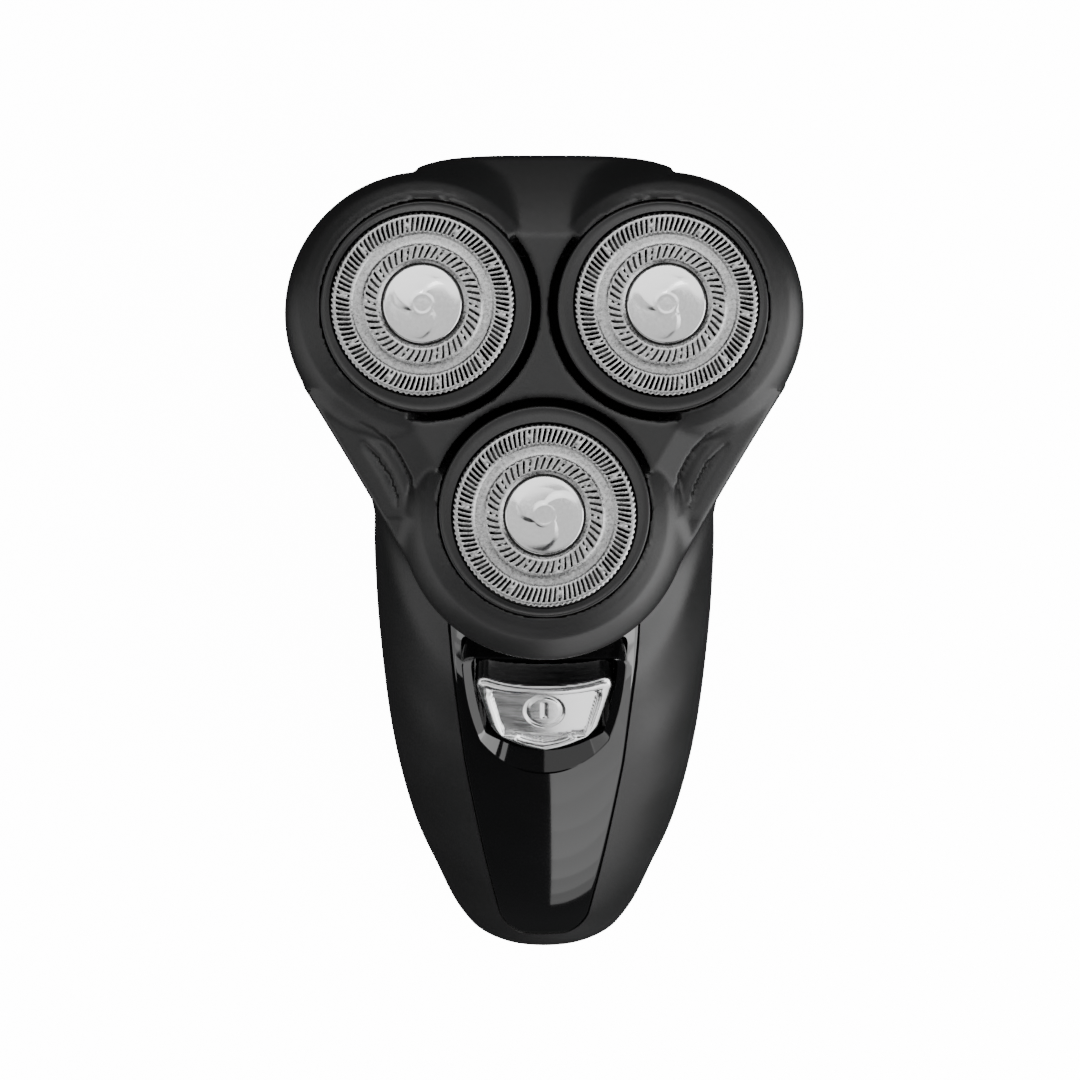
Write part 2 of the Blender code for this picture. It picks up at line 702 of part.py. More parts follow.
def build_gear_plate():
    plate = make_object("gear_plate", *prism(lobed_plate(4.6, 13.5), PLATE_BOTTOM, PLATE_TOP), "grey_plastic")
    boolean(plate, tool_object("boss_hole", prism(circle(3.5, 20), -28, -22)))
    for side, degrees in CUTTERS:
        hole = prism(circle(SPINDLE_RADIUS + 0.1, 16, cutter_centre(degrees)), -28, -22)
        boolean(plate, tool_object("bearing_hole_" + side, hole))


def build_drive_deck():
    """Deck that closes the neck, with sealed spindle holes and screw holes."""
    outline = polar_outline(in_rim, WALL + GAP + 0.1, HEAD_POINTS)
    deck = make_object("drive_deck", *prism(outline, DECK_BOTTOM, DECK_TOP), "grey_plastic")
    for side, degrees in CUTTERS:
        hole = prism(circle(SEAL_RADIUS + GAP, 20, cutter_centre(degrees)), -19, -14)
        boolean(deck, tool_object("seal_hole_" + side, hole))
    head = DECK_TOP + GAP
    screw = [(0, -18.6), (0.6, -18.6), (1.0, -17.9), (1.0, head), (2.0, head), (2.0, head + 0.6),
             (1.6, head + 1.0), (0, head + 1.0)]
    for side, (x, y) in SCREWS:
        hole = prism(circle(1.0 + GAP, 12, (x, y)), -19, -14)
        boolean(deck, tool_object("screw_hole_" + side, hole))
        make_object("deck_screw_" + side, *lathe(screw, 14, closed=False), "steel", (x, y, 0))


def build_neck_seal():
    """Gasket on the handle's rim, under the head's skirt."""
    rings = []
    low, high = DECK_BOTTOM - 0.05, DECK_BOTTOM + 0.3
    for inset, z in ((WALL + 0.1, low), (0.7, low), (0.7, high), (WALL + 0.1, high)):
        rings.append([(x, y, z) for x, y in polar_outline(in_rim, inset, HEAD_POINTS)])
    verts, faces = loft(rings)
    faces = faces[:-2]
    for col in range(HEAD_POINTS):
        nxt = (col + 1) % HEAD_POINTS
        faces.append((3 * HEAD_POINTS + col, 3 * HEAD_POINTS + nxt, nxt, col))
    make_object("neck_seal", verts, faces, "rubber")


# ---------------------------------------------------------------- head

def head_ring(inset, z, rim_share=0.0, count=HEAD_POINTS):
    """Ring between the head's outline and the neck's rim."""
    head = polar_outline(in_head, inset, count)
    rim = polar_outline(in_rim, inset, count)
    return [(hx + (rx - hx) * rim_share, hy + (ry - hy) * rim_share, z)
            for (hx, hy), (rx, ry) in zip(head, rim)]


def build_head_frame():
    """Three-lobed frame: rounded shell, collars round the bores, sunk valley and hollow underside."""
    shell = [head_ring(0.0, SKIRT_Z, 1.0), head_ring(0.0, -14.2, 0.75), head_ring(0.1, -11.5, 0.25),
             head_ring(0.0, -8.5), head_ring(0.3, -6.2), head_ring(1.2, -4.4), head_ring(2.4, -3.4)]
    frame = make_object("head_frame", *loft(shell), "black_plastic", sharp=30)
    for side, degrees in CUTTERS:
        collar = [(0, -7.0), (17.0, -7.0), (16.9, -4.6), (16.3, -3.0), (15.4, -1.9), (14.0, -1.2),
                  (0, -1.2)]
        x, y = cutter_centre(degrees)
        place = (x * 0.99, y * 0.99, 0)
        tool = tool_object("collar_" + side, lathe(collar, ROUND, closed=False), place)
        boolean(frame, tool, "UNION")
    boolean(frame, valley_tool())
    for side, degrees in CUTTERS:
        bore = prism(circle(BORE_RADIUS, ROUND, cutter_centre(degrees, RING_SHIFT)), -9, 3)
        boolean(frame, tool_object("cutter_bore_" + side, bore))
    cavity = [head_ring(HEAD_WALL, SKIRT_Z - 2, 1.0), head_ring(HEAD_WALL, -14.2, 0.75),
              head_ring(HEAD_WALL, -11.5, 0.25), head_ring(HEAD_WALL, CEILING_Z)]
    boolean(frame, tool_object("head_cavity", loft(cavity)))


def valley_tool():
    """Space between the three collars, above the sunk plate and its ramp to the tab."""
    outline = [(-16.5, -6.0), (-12.5, -11.5), (12.5, -11.5), (16.5, -6.0), (7.0, 8.8), (4.6, 17.4),
               (7.5, 27.0), (-7.5, 27.0), (-4.6, 17.4), (-7.0, 8.8)]
    floor = [(x, y, VALLEY_Z if y < 18 else VALLEY_Z + 0.6) for x, y in outline]
    tool = tool_object("valley", loft([floor, [(x, y, 2.0) for x, y in outline]]))
    for side, degrees in CUTTERS:
        keep = prism(circle(COLLAR_RADIUS, ROUND, cutter_centre(degrees, RING_SHIFT)), -8, 4)
        boolean(tool, tool_object("collar_keep_" + side, keep))
    return tool


def build_retainer():
    """Plate that holds the cutters in from behind, with its turning knob."""
    outline = lobed_plate(8.0, 15.0)
    plate = make_object("cutter_retainer", *prism(outline, RETAINER_BOTTOM, RETAINER_TOP), "grey_plastic")
    boolean(plate, tool_object("knob_hole", prism(circle(KNOB_SHAFT_RADIUS + GAP, 20), -10, -5)))
    for side, degrees in CUTTERS:
        hole = prism(circle(COUPLING_RADIUS + 0.8, 24, cutter_centre(degrees)), -10, -5)
        boolean(plate, tool_object("coupling_hole_" + side, hole))
    flange = RETAINER_BOTTOM - GAP
    shaft = [(0, flange - 0.7), (5.5, flange - 0.7), (5.5, flange), (KNOB_SHAFT_RADIUS, flange),
             (KNOB_SHAFT_RADIUS, RETAINER_TOP + 0.2), (0, RETAINER_TOP + 0.2)]
    knob = make_object("retainer_knob", *lathe(shaft, 24, closed=False), "grey_plastic")
    boolean(knob, tool_object("knob_wing", prism(rounded_box(11.5, 2.6, 1.2), -12.0, -9.0)), "UNION")


def build_cutter(side, degrees):
    """Ring, slotted guard, cap, inner cutter and coupling of one shaving unit."""
    x, y = cutter_centre(degrees)
    place = (x, y, 0)
    bore = GUARD_RADIUS + GAP
    ring = [(bore, -5.2), (RING_RADIUS, -5.2), (RING_RADIUS, -1.3), (RING_RADIUS - 0.3, -1.0),
            (bore + 0.4, -0.5), (bore, -0.9)]
    verts, faces = lathe(ring, ROUND)
    inward = Vector(cutter_centre(degrees, RING_SHIFT)) - Vector((x, y))
    for index, (vx, vy, vz) in enumerate(verts):
        share = max(0.0, (math.hypot(vx, vy) - bore) / (RING_RADIUS - bore))
        verts[index] = (vx + inward.x * share, vy + inward.y * share, vz)
    make_object("cutter_ring_" + side, verts, faces, "black_plastic", place)
    inner = CAP_RADIUS + GAP
    guard = [(inner, 0.0), (inner, -0.9), (GUARD_RADIUS - 0.7, -0.9), (GUARD_RADIUS - 0.7, -3.4),
             (GUARD_RADIUS, -3.4), (GUARD_RADIUS, -0.3), (GUARD_RADIUS - 0.3, 0.0)]
    make_object("outer_cutter_" + side, *lathe(guard, ROUND), "steel", place)
    cap = [(0, 0.25), (2.4, 0.18), (CAP_RADIUS - 0.5, -0.15), (CAP_RADIUS, -0.5), (CAP_RADIUS, -1.1),
           (0, -1.1)]
    make_object("centre_cap_" + side, *lathe(cap, ROUND, closed=False), "bright_steel", place)
    make_object("inner_cutter_" + side, *prism(blade_outline(), -2.7, -1.4), "steel", place)
    coupling = [(0, -9.6), (3.0, -9.6), (COUPLING_RADIUS, -3.4), (2.4, -3.0), (0, -3.0)]
    coupling = lathe(coupling, 20, closed=False)
    socket = make_object("cutter_coupling_" + side, *coupling, "white_plastic", place)
    recess = prism(circle(1.95, 6), -12, -4.4)
    boolean(socket, tool_object("coupling_socket_" + side, recess, place))


def blade_outline(blades=12):
    """Outline of the inner cutter: swept blades on a disc."""
    points = []
    for blade in range(blades):
        start = math.tau * blade / blades
        for radius, share in ((6.6, 0.0), (10.4, 0.16), (10.4, 0.44), (6.9, 0.55), (6.4, 0.8)):
            angle = start + share * math.tau / blades
            points.append((radius * math.cos(angle), radius * math.sin(angle)))
    return points


# ---------------------------------------------------------------- assembly

def seat_on_floor(frame):
    """Lay the shaver on its back and put the origin under the middle of its box."""
    frame.rotation_euler = (BACK_TILT - math.pi / 2, 0, math.pi)
    bpy.context.view_layer.update()
    depsgraph = bpy.context.evaluated_depsgraph_get()
    corners = []
    for item in bpy.data.objects:
        if item.type == "MESH" and not item.hide_render:
            ready = item.evaluated_get(depsgraph)
            corners += [ready.matrix_world @ vert.co for vert in ready.data.vertices]
    low = Vector([min(corner[axis] for corner in corners) for axis in range(3)])
    high = Vector([max(corner[axis] for corner in corners) for axis in range(3)])
    frame.location = (-(low.x + high.x) / 2, -(low.y + high.y) / 2, -low.z)


def main():
    clear_scene()
    frame = bpy.data.objects.new("shaver_frame", None)
    bpy.context.collection.objects.link(frame)
    build_housings()
    build_front_panel()
    build_switch_bezel()
    build_power_slider()
    build_circuit()
    build_battery()
    build_motor()
    build_charging_socket()
    build_pinion()
    build_gear_plate()
    build_drive_deck()
    build_neck_seal()
    build_head_frame()
    build_retainer()
    for side, degrees in CUTTERS:
        build_drive_train(side, degrees)
        build_cutter(side, degrees)
    seat_on_floor(frame)


main()
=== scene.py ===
"""Looks of the rotary shaver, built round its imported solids.

Shapes are laid out in millimetres in the head's own frame: origin in the middle of the three
cutters on the plane of their tops, x across, y towards the lifting tab, z out of the cutters.
place() turns such points into the model's metres.
"""
import json
import math

import bmesh
import bpy
import numpy as np
import openvdb
from mathutils import Matrix, Vector


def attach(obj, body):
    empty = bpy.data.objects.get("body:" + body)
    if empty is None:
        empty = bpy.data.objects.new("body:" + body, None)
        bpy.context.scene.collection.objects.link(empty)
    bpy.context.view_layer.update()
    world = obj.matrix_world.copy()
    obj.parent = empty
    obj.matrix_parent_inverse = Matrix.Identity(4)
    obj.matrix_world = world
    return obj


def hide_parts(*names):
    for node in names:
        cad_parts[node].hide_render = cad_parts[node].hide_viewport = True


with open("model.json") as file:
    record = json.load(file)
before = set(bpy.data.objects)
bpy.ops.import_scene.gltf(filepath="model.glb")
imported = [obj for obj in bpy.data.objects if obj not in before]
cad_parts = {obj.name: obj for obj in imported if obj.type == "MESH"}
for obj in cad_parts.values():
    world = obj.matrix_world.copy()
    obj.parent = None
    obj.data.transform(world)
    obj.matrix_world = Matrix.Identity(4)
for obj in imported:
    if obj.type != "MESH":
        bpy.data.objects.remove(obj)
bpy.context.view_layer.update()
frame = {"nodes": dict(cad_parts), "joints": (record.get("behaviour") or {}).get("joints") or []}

MM = 0.001
SIDES = {"right": 30, "left": 150, "lower": 270}

# ---------------------------------------------------------------- sizes, in millimetres
PITCH_RADIUS = 17.6
GUARD_RADIUS = 11.42
CAP_RADIUS = 4.95
GAP = 0.3
CREASE_RADIUS = 15.5
UPPER_LOBE = (14.8, 7.9, 18.0)
LOWER_LOBE = (-17.6, 18.2)
FLANK_TOP = (30.6, -1.1)
FLANK_FOOT = (15.6, -26.5)
FLANK_SAG = 0.2
TAB_TOP = 28.0
TAB_HALF_WIDTH = 16.2
VALLEY_Z = -2.7
RAMP_EDGE = 17.5
RAMP_SLOPE = 0.30
RAMP_CURVE = 0.014
CEILING_Z = -6.2
SKIRT_Z = -15.8
HEAD_WALL = 2.2
VOXEL = 0.335
LIP_Z = -1.2             # frame's edge round a cutter, and the cone outside it
LIP_RADIUS = 12.8
CONE_SLOPE = 0.45
RING_EDGE = 13.2         # visible edge of a cutter ring, its centre moved inwards by EDGE_SHIFT
EDGE_SHIFT = 0.5
FRAME_BORE = 13.35
VALLEY_BORE = 14.25      # wider groove on the side that faces the plate
RING_TOP = -0.60
RING_FALL = 0.2
RING_ROUND = 0.25
VALLEY_COSINE = (0.30, 0.56)
VALLEY_DROP = 8.0        # how far the groove's floor sinks there
# angle from that side in degrees, and how far the cone outside the groove sinks
CONE_SINK = ((50, 66, 105), (1.5, 0.65, 0.0))
FLANK_BEND = 4.0         # the flank is steeper up to this distance from the plate's edge
FLANK_EDGE = (0.862, 0.507, 16.7, -6.4)  # outward direction and a point of the plate's side edges
ROUND_START = -7.5       # side walls round over above this height
ROUND_WIDE = 2.6
ROUND_TALL = 6.6
# ends, bulge, depth and width of the crescents in the flanks
FLANK_GROOVES = (
    (((23.4, -5.8), (16.5, -17.9)), 2.5, 1.35, 2.4),
    (((23.0, -8.3), (18.2, -16.7)), 1.0, 0.8, 1.6),
)

# radius and height across a guard: raised tracks, a sunk band between them, a turned-down rim
GUARD_PROFILE = (
    (5.1, -0.62), (5.2, -0.22), (5.45, -0.08), (5.65, 0.0), (7.35, 0.0), (7.6, -0.20),
    (8.75, -0.22), (9.0, 0.0), (10.95, 0.0), (11.25, -0.05), (11.42, -0.22),
)
# radii of the rows of a guard's grid; the last two rows run down the side wall
GUARD_ROWS = (5.1, 5.2, 5.45, 5.65, 5.8, 6.14, 6.55, 6.9, 7.35, 7.5, 7.7, 8.2, 8.7, 8.85, 9.08, 9.44,
              9.95, 10.46, 10.86, 11.0, 11.15, 11.3, 11.42, 11.42, 11.42)
GUARD_SIDE = (-0.8, -3.4)
GUARD_COLUMNS = 400
GUARD_WALL = 0.42
INNER_SLOTS = (5.85, 7.3)
OUTER_SLOTS = (9.12, 10.82)
TOOTH_DEPTH = 0.14
TOOTH_ROWS = (20, 24)    # the rim's teeth lie in the rows between these
RING_DEPTH = -5.2
CAP_FOOT = -1.1

BACK_TILT = math.radians(62)
WALL = 2.1
TIP_WALL = 1.0
THIN_FROM = 8            # station from which the wall thins towards the tip
FLAT_CUT = 0.6
# front line, back line (both as y, z), half width, place of the widest line, roundness at the front
STATIONS = (
    ((-29.0, -16.6), (25.5, -16.6), 30.5, 0.64, 1.60),
    ((-34.8, -20.0), (25.5, -22.0), 29.9, 0.66, 1.42),
    ((-38.8, -23.4), (24.0, -28.0), 25.2, 0.58, 1.60),
    ((-43.0, -27.4), (20.0, -34.5), 22.4, 0.48, 2.00),
    ((-48.3, -33.0), (15.0, -43.0), 22.5, 0.44, 2.10),
    ((-53.5, -38.6), (6.0, -51.8), 22.1, 0.40, 2.20),
    ((-60.0, -46.6), (-18.0, -64.6), 20.8, 0.40, 2.20),
    ((-66.5, -56.0), (-38.0, -75.2), 18.5, 0.42, 2.20),
    ((-71.6, -65.0), (-52.0, -82.7), 15.6, 0.45, 2.15),
    ((-75.2, -73.5), (-62.0, -88.0), 13.5, 0.50, 2.10),
    ((-77.2, -79.0), (-68.8, -91.0), 11.2, 0.50, 2.05),
    ((-78.0, -82.3), (-72.0, -92.0), 9.5, 0.50, 2.00),
    ((-78.4, -84.8), (-74.5, -92.1), 7.5, 0.50, 2.00),
)
BACK_ROUNDNESS = 2.6
TIP = len(STATIONS) - 1
PANEL_TOP = 32.0
PANEL_FOOT = 76.0
PANEL_WIDTHS = ((31.5, 13.5), (52.6, 10.5), (63.8, 8.2), (73.0, 6.2))
PANEL_CORNER = 3.0
PANEL_THICKNESS = 1.1
SWITCH_Y = -43.9
SWITCH_Z = -28.4
SLOPE = math.radians(45.8)
TRAY_FLOOR = -5.0
SHIELD_REACH = 9         # mean reach of the shield outlines, to scale them by a distance
CHAMFER_DEPTHS = ((-6.0, -3.0), (1.25, 0.62))  # heights up the slope, and the bevel's depth there
SLIDER_VOXEL = 0.14
SLIDER_FACE = -0.95
SLIDER_FOOT = -4.6
STEM_FOOT = -6.6
BEAD_HEIGHT = 0.75
LIP_HEIGHT = 0.40
SIGN_RADII = (2.35, 2.75)
SIGN_DEPTH = 0.14
SIGN_LINE = 0.30         # half width of the engraved line

CAMERA_AT = (-0.56, -20.66, 600.0)
FIELD = 134.8            # width of the view at the cutters' plane
STRIP_TOP = -65          # height and spacing of the light strips that the panel mirrors
STRIP_STEP = 50
STRIP_RADIANCE = (1.5, 1.45, 1.35, 1.2, 1.0, 0.75, 0.5)


# ---------------------------------------------------------------- the head's frame in the model

def head_matrix():
    """Columns are the head frame's axes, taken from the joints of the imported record."""
    joints = {joint["name"]: joint for joint in frame["joints"]}
    out = Vector(joints["head_lift"]["axis"]).normalized()
    across = Vector((-1, 0, 0))
    up = out.cross(across)
    origin = Vector(joints["retainer_turn"]["pos_m"]) + out * 9 * MM
    matrix = Matrix((across, up, out)).transposed().to_4x4()
    matrix.translation = origin
    return matrix


HEAD = head_matrix()
HEAD_TURN = np.array(HEAD.to_3x3())
HEAD_ORIGIN = np.array(HEAD.translation)


def place(points):
    """Millimetre points of the head's frame, in the model's metres."""
    return np.asarray(points, float) @ HEAD_TURN.T * MM + HEAD_ORIGIN


def cutter_centre(side, shift=0.0):
    angle = math.radians(SIDES[side])
    return (PITCH_RADIUS - shift) * math.cos(angle), (PITCH_RADIUS - shift) * math.sin(angle)


# ---------------------------------------------------------------- mesh helpers

def closed_mesh(name, verts, faces):
    """Linked object from millimetre points, its faces all turned the same way."""
    mesh = bpy.data.meshes.new(name)
    mesh.from_pydata(place(verts).tolist(), [], [tuple(face) for face in faces])
    shape = bmesh.new()
    shape.from_mesh(mesh)
    bmesh.ops.recalc_face_normals(shape, faces=shape.faces)
    shape.to_mesh(mesh)
    shape.free()
    item = bpy.data.objects.new(name, mesh)
    bpy.context.collection.objects.link(item)
    return item


def smooth(mesh, sharp):
    """Smooth shading that stays hard at edges over an angle in degrees."""
    mesh.shade_smooth()
    mesh.set_sharp_from_angle(angle=math.radians(sharp))


def piece(name, verts, faces, look, body, slot, sharp=30, replaces=None):
    """Make one visible piece from millimetre points and tie it to its body."""
    item = closed_mesh(name, verts, faces)
    smooth(item.data, sharp)
    item.data.materials.append(look)
    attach(item, body)
    if replaces:
        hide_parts(replaces)
    return item


def carve(target, verts, faces, sharp):
    """Cut a solid out of a piece and drop the tool."""
    tool = closed_mesh("tool", verts, faces)
    change = target.modifiers.new("carve", "BOOLEAN")
    change.operation = "DIFFERENCE"
    change.solver = "EXACT"
    change.object = tool
    bpy.context.view_layer.update()
    ready = target.evaluated_get(bpy.context.evaluated_depsgraph_get())
    mesh = bpy.data.meshes.new_from_object(ready)
    target.modifiers.clear()
    target.data = mesh
    smooth(mesh, sharp)
    bpy.data.objects.remove(tool, do_unlink=True)


def loft(rings):
    """Skin a stack of closed rings and cap both ends."""
    count = len(rings[0])
    verts = [point for ring in rings for point in ring]
    faces = []
    for row in range(len(rings) - 1):
        for col in range(count):
            nxt = (col + 1) % count
            low = row * count
            faces.append((low + col, low + nxt, low + count + nxt, low + count + col))
    faces.append(tuple(range(count)))
    faces.append(tuple(range(len(verts) - count, len(verts))))
    return verts, faces


def turned(profile, segments, centre):
    """Turn a closed (radius, z, shift) profile about a cutter; shift moves a row towards the middle."""
    away = Vector(centre).normalized()
    verts, faces = [], []
    for radius, z, shift in profile:
        for step in range(segments):
            angle = math.tau * step / segments
            verts.append((centre[0] + radius * math.cos(angle) - away.x * shift,
                          centre[1] + radius * math.sin(angle) - away.y * shift, z))
    for row in range(len(profile)):
        first = row * segments
        second = (row + 1) % len(profile) * segments
        for step in range(segments):
            nxt = (step + 1) % segments
            faces.append((first + step, first + nxt, second + nxt, second + step))
    return verts, faces


def thick_sheet(outer, inner):
    """Close two matching grids of points into one solid shell."""
    rows, cols = len(outer), len(outer[0])
    verts = [point for grid in (outer, inner) for row in grid for point in row]
    under = rows * cols
    faces = []
    for row in range(rows - 1):
        for col in range(cols - 1):
            corner = row * cols + col
            quad = (corner, corner + 1, corner + cols + 1, corner + cols)
            faces.append(quad)
            faces.append(tuple(under + index for index in reversed(quad)))
    border = list(range(cols))
    border += [row * cols + cols - 1 for row in range(1, rows)]
    border += [(rows - 1) * cols + col for col in range(cols - 2, -1, -1)]
    border += [row * cols for row in range(rows - 2, 0, -1)]
    for first, second in zip(border, border[1:] + border[:1]):
        faces.append((first, under + first, under + second, second))
    return verts, faces


# ---------------------------------------------------------------- materials

def new_look(name, colour, roughness, metallic=0.0):
    """Start a material; returns it with its nodes, links and shader."""
    look = bpy.data.materials.new(name)
    look.use_nodes = True
    nodes, links = look.node_tree.nodes, look.node_tree.links
    shader = nodes["Principled BSDF"]
    shader.inputs["Base Color"].default_value = (*colour, 1.0)
    shader.inputs["Roughness"].default_value = roughness
    shader.inputs["Metallic"].default_value = metallic
    return look, nodes, links, shader


def noise(nodes, links, scale, detail=3.0, roughness=0.5, stretch=(1, 1, 1)):
    """Noise in the object's own coordinates; scale is in cells per metre."""
    where = nodes.new("ShaderNodeTexCoord")
    spread = nodes.new("ShaderNodeMapping")
    spread.inputs["Scale"].default_value = stretch
    pattern = nodes.new("ShaderNodeTexNoise")
    pattern.inputs["Scale"].default_value = scale
    pattern.inputs["Detail"].default_value = detail
    pattern.inputs["Roughness"].default_value = roughness
    links.new(where.outputs["Object"], spread.inputs["Vector"])
    links.new(spread.outputs["Vector"], pattern.inputs["Vector"])
    return pattern


def ramp(nodes, links, source, stops):
    """Colour ramp over a pattern; stops are (position, grey or colour)."""
    band = nodes.new("ShaderNodeValToRGB")
    elements = band.color_ramp.elements
    while len(elements) < len(stops):
        elements.new(0.5)
    for element, (position, value) in zip(elements, stops):
        colour = value if isinstance(value, tuple) else (value, value, value)
        element.position = position
        element.color = (*colour, 1.0)
    links.new(source, band.inputs["Fac"])
    return band


def vary(nodes, links, shader, pattern, colours, rough):
    """Let a pattern move the colour and the roughness between two values."""
    for (low, high), entry in ((colours, "Base Color"), (rough, "Roughness")):
        band = ramp(nodes, links, pattern.outputs["Fac"], ((0.3, low), (0.7, high)))
        links.new(band.outputs["Color"], shader.inputs[entry])


def bump(nodes, links, shader, pattern, height):
    """Relief from a pattern, with its height in metres."""
    relief = nodes.new("ShaderNodeBump")
    relief.inputs["Strength"].default_value = 1.0
    relief.inputs["Distance"].default_value = height
    links.new(pattern.outputs["Fac"], relief.inputs["Height"])
    links.new(relief.outputs["Normal"], shader.inputs["Normal"])


def satin_plastic(name, tone=0.013, rough=(0.34, 0.44), grain=9000, height=0.000008):
    """Moulded black plastic: fine spark-eroded grain, slight wear in the gloss."""
    look, nodes, links, shader = new_look(name, (tone, tone, tone * 1.05), rough[0])
    cloudy = noise(nodes, links, 60, 4.0)
    vary(nodes, links, shader, cloudy, ((tone * 0.92,) * 3, (tone * 1.1, tone * 1.1, tone * 1.15)), rough)
    bump(nodes, links, shader, noise(nodes, links, grain, 2.0), height)
    return look


def gloss_plastic(name):
    """Piano-black panel: clear gloss, hardly any relief, a trace of handling haze."""
    look, nodes, links, shader = new_look(name, (0.004, 0.004, 0.0045), 0.05)
    haze = noise(nodes, links, 45, 5.0, 0.6)
    vary(nodes, links, shader, haze, ((0.0035,) * 3, (0.0055, 0.0055, 0.006)), (0.045, 0.085))
    bump(nodes, links, shader, noise(nodes, links, 220, 1.0), 0.0000012)
    shader.inputs["Specular IOR Level"].default_value = 0.6
    shader.inputs["Coat Weight"].default_value = 0.4
    shader.inputs["Coat Roughness"].default_value = 0.03
    return look


def ground_steel(name, tone=0.54, rough=(0.2, 0.42), grain=2900, height=0.00003):
    """Ground stainless steel with a fine crystalline grain."""
    look, nodes, links, shader = new_look(name, (tone,) * 3, rough[0], 1.0)
    grains = noise(nodes, links, grain, 4.0, 0.65)
    vary(nodes, links, shader, grains, ((tone * 0.45,) * 3, (tone * 1.25,) * 3), rough)
    bump(nodes, links, shader, grains, height)
    return look


def polished_steel(name):
    """Mirror-polished cap with faint turning marks."""
    look, nodes, links, shader = new_look(name, (0.88, 0.88, 0.885), 0.1, 1.0)
    marks = noise(nodes, links, 2600, 2.0, 0.5, (1, 1, 0.2))
    vary(nodes, links, shader, marks, ((0.86,) * 3, (0.92,) * 3), (0.12, 0.18))
    bump(nodes, links, shader, marks, 0.0000008)
    return look


def satin_chrome(name):
    """Plated slider: bright, slightly brushed across."""
    look, nodes, links, shader = new_look(name, (0.86, 0.86, 0.87), 0.2, 1.0)
    brushed = noise(nodes, links, 1500, 3.0, 0.6, (0.15, 1.6, 1.6))
    vary(nodes, links, shader, brushed, ((0.84,) * 3, (0.92, 0.92, 0.93)), (0.17, 0.27))
    bump(nodes, links, shader, brushed, 0.000002)
    return look


def plain_solid(name, colour, roughness, metallic=0.0, grain=1500, height=0.000006):
    """Inner pieces: their colour with slight mottling, and grain at the right size."""
    look, nodes, links, shader = new_look(name, colour, roughness, metallic)
    mottled = noise(nodes, links, grain, 3.0)
    dark = tuple(part * 0.85 for part in colour)
    light = tuple(min(part * 1.12, 1.0) for part in colour)
    vary(nodes, links, shader, mottled, (dark, light), (roughness * 0.85, min(roughness * 1.15, 1.0)))
    bump(nodes, links, shader, mottled, height)
    return look


def black_plastic_with_painted_shade(name):
    """Matt black retainer, seen only at the bottom of a gap: black plastic made darker still and almost
    without shine, painted shade for the gap.
    """
    look, nodes, links, shader = new_look(name, (0.003, 0.003, 0.003), 0.8)
    vary(nodes, links, shader, noise(nodes, links, 900, 3.0), ((0.002,) * 3, (0.004,) * 3), (0.75, 0.85))
    shader.inputs["Specular IOR Level"].default_value = 0.05
    return look


LOOKS = {
    "black_shell": satin_plastic("black_shell"),
    "cutter_ring_plastic": satin_plastic("cutter_ring_plastic", 0.012, (0.30, 0.38)),
    "gloss_panel": gloss_plastic("gloss_panel"),
    "slider_silver": satin_chrome("slider_silver"),
    "cutter_steel": ground_steel("cutter_steel"),
    "polished_cap": polished_steel("polished_cap"),
    "blade_steel": ground_steel("blade_steel", 0.10, (0.35, 0.5), 2000),
    "coupling_plastic": plain_solid("coupling_plastic", (0.62, 0.61, 0.57), 0.45),
    "gear_plastic": plain_solid("gear_plastic", (0.66, 0.65, 0.60), 0.42),
    "spindle_steel": plain_solid("spindle_steel", (0.5, 0.5, 0.51), 0.3, 1.0, 3000),
    "inner_grey_plastic": plain_solid("inner_grey_plastic", (0.12, 0.12, 0.13), 0.5),
    # the retainer's look is partly its real black plastic and partly painted shade: darker and duller than
    # the other black plastics
    "retainer_black_painted_shade": black_plastic_with_painted_shade("retainer_black_painted_shade"),
    "seal_rubber": plain_solid("seal_rubber", (0.018, 0.018, 0.018), 0.75, 0.0, 2500),
    "motor_steel": plain_solid("motor_steel", (0.45, 0.45, 0.46), 0.35, 1.0, 2200),
    "pinion_brass": plain_solid("pinion_brass", (0.70, 0.50, 0.22), 0.3, 1.0, 2500),
    "socket_plastic": satin_plastic("socket_plastic", 0.012, (0.4, 0.5)),
    "cell_wrap": plain_solid("cell_wrap", (0.04, 0.15, 0.40), 0.35, 0.0, 500),
    "board_laminate": plain_solid("board_laminate", (0.02, 0.13, 0.05), 0.4, 0.0, 900),
}


# ---------------------------------------------------------------- solids from distance fields

def voxel_solid(field, low, voxel):
    """Surface of a field sampled on a regular grid, negative inside: points and quads."""
    grid = openvdb.FloatGrid(float(voxel * 3))
    grid.copyFromArray(np.ascontiguousarray(field, dtype=np.float32))
    grid.transform = openvdb.createLinearTransform(voxelSize=voxel)
    points, quads = grid.convertToQuads()
    return np.asarray(points, float) + np.array(low), quads


def sample_grid(low, high, voxel):
    """Coordinates of a grid between two corners."""
    axes = [np.arange(start, end + voxel, voxel, dtype=np.float32) for start, end in zip(low, high)]
    return np.meshgrid(*axes, indexing="ij")


def smooth_union(first, second, width):
    blend = np.clip(0.5 + 0.5 * (second - first) / width, 0, 1)
    return second + (first - second) * blend - width * blend * (1 - blend)


def smooth_cut(first, second, width):
    """Intersection of two solids with a rounded edge."""
    return -smooth_union(-first, -second, width)


def polygon_distance(points, x, y):
    """Signed distance from a closed outline, negative inside."""
    best = np.full(x.shape, 1e9)
    inside = np.zeros(x.shape, bool)
    for (ax, ay), (bx, by) in zip(points, points[1:] + points[:1]):
        dx, dy = bx - ax, by - ay
        share = np.clip(((x - ax) * dx + (y - ay) * dy) / (dx * dx + dy * dy), 0, 1)
        best = np.minimum(best, np.hypot(x - ax - share * dx, y - ay - share * dy))
        crosses = (ay > y) != (by > y)
        slope = dx / dy if dy else 0.0
        inside ^= crosses & (x < ax + (y - ay) * slope)
    return np.where(inside, -best, best)


# ---------------------------------------------------------------- head frame

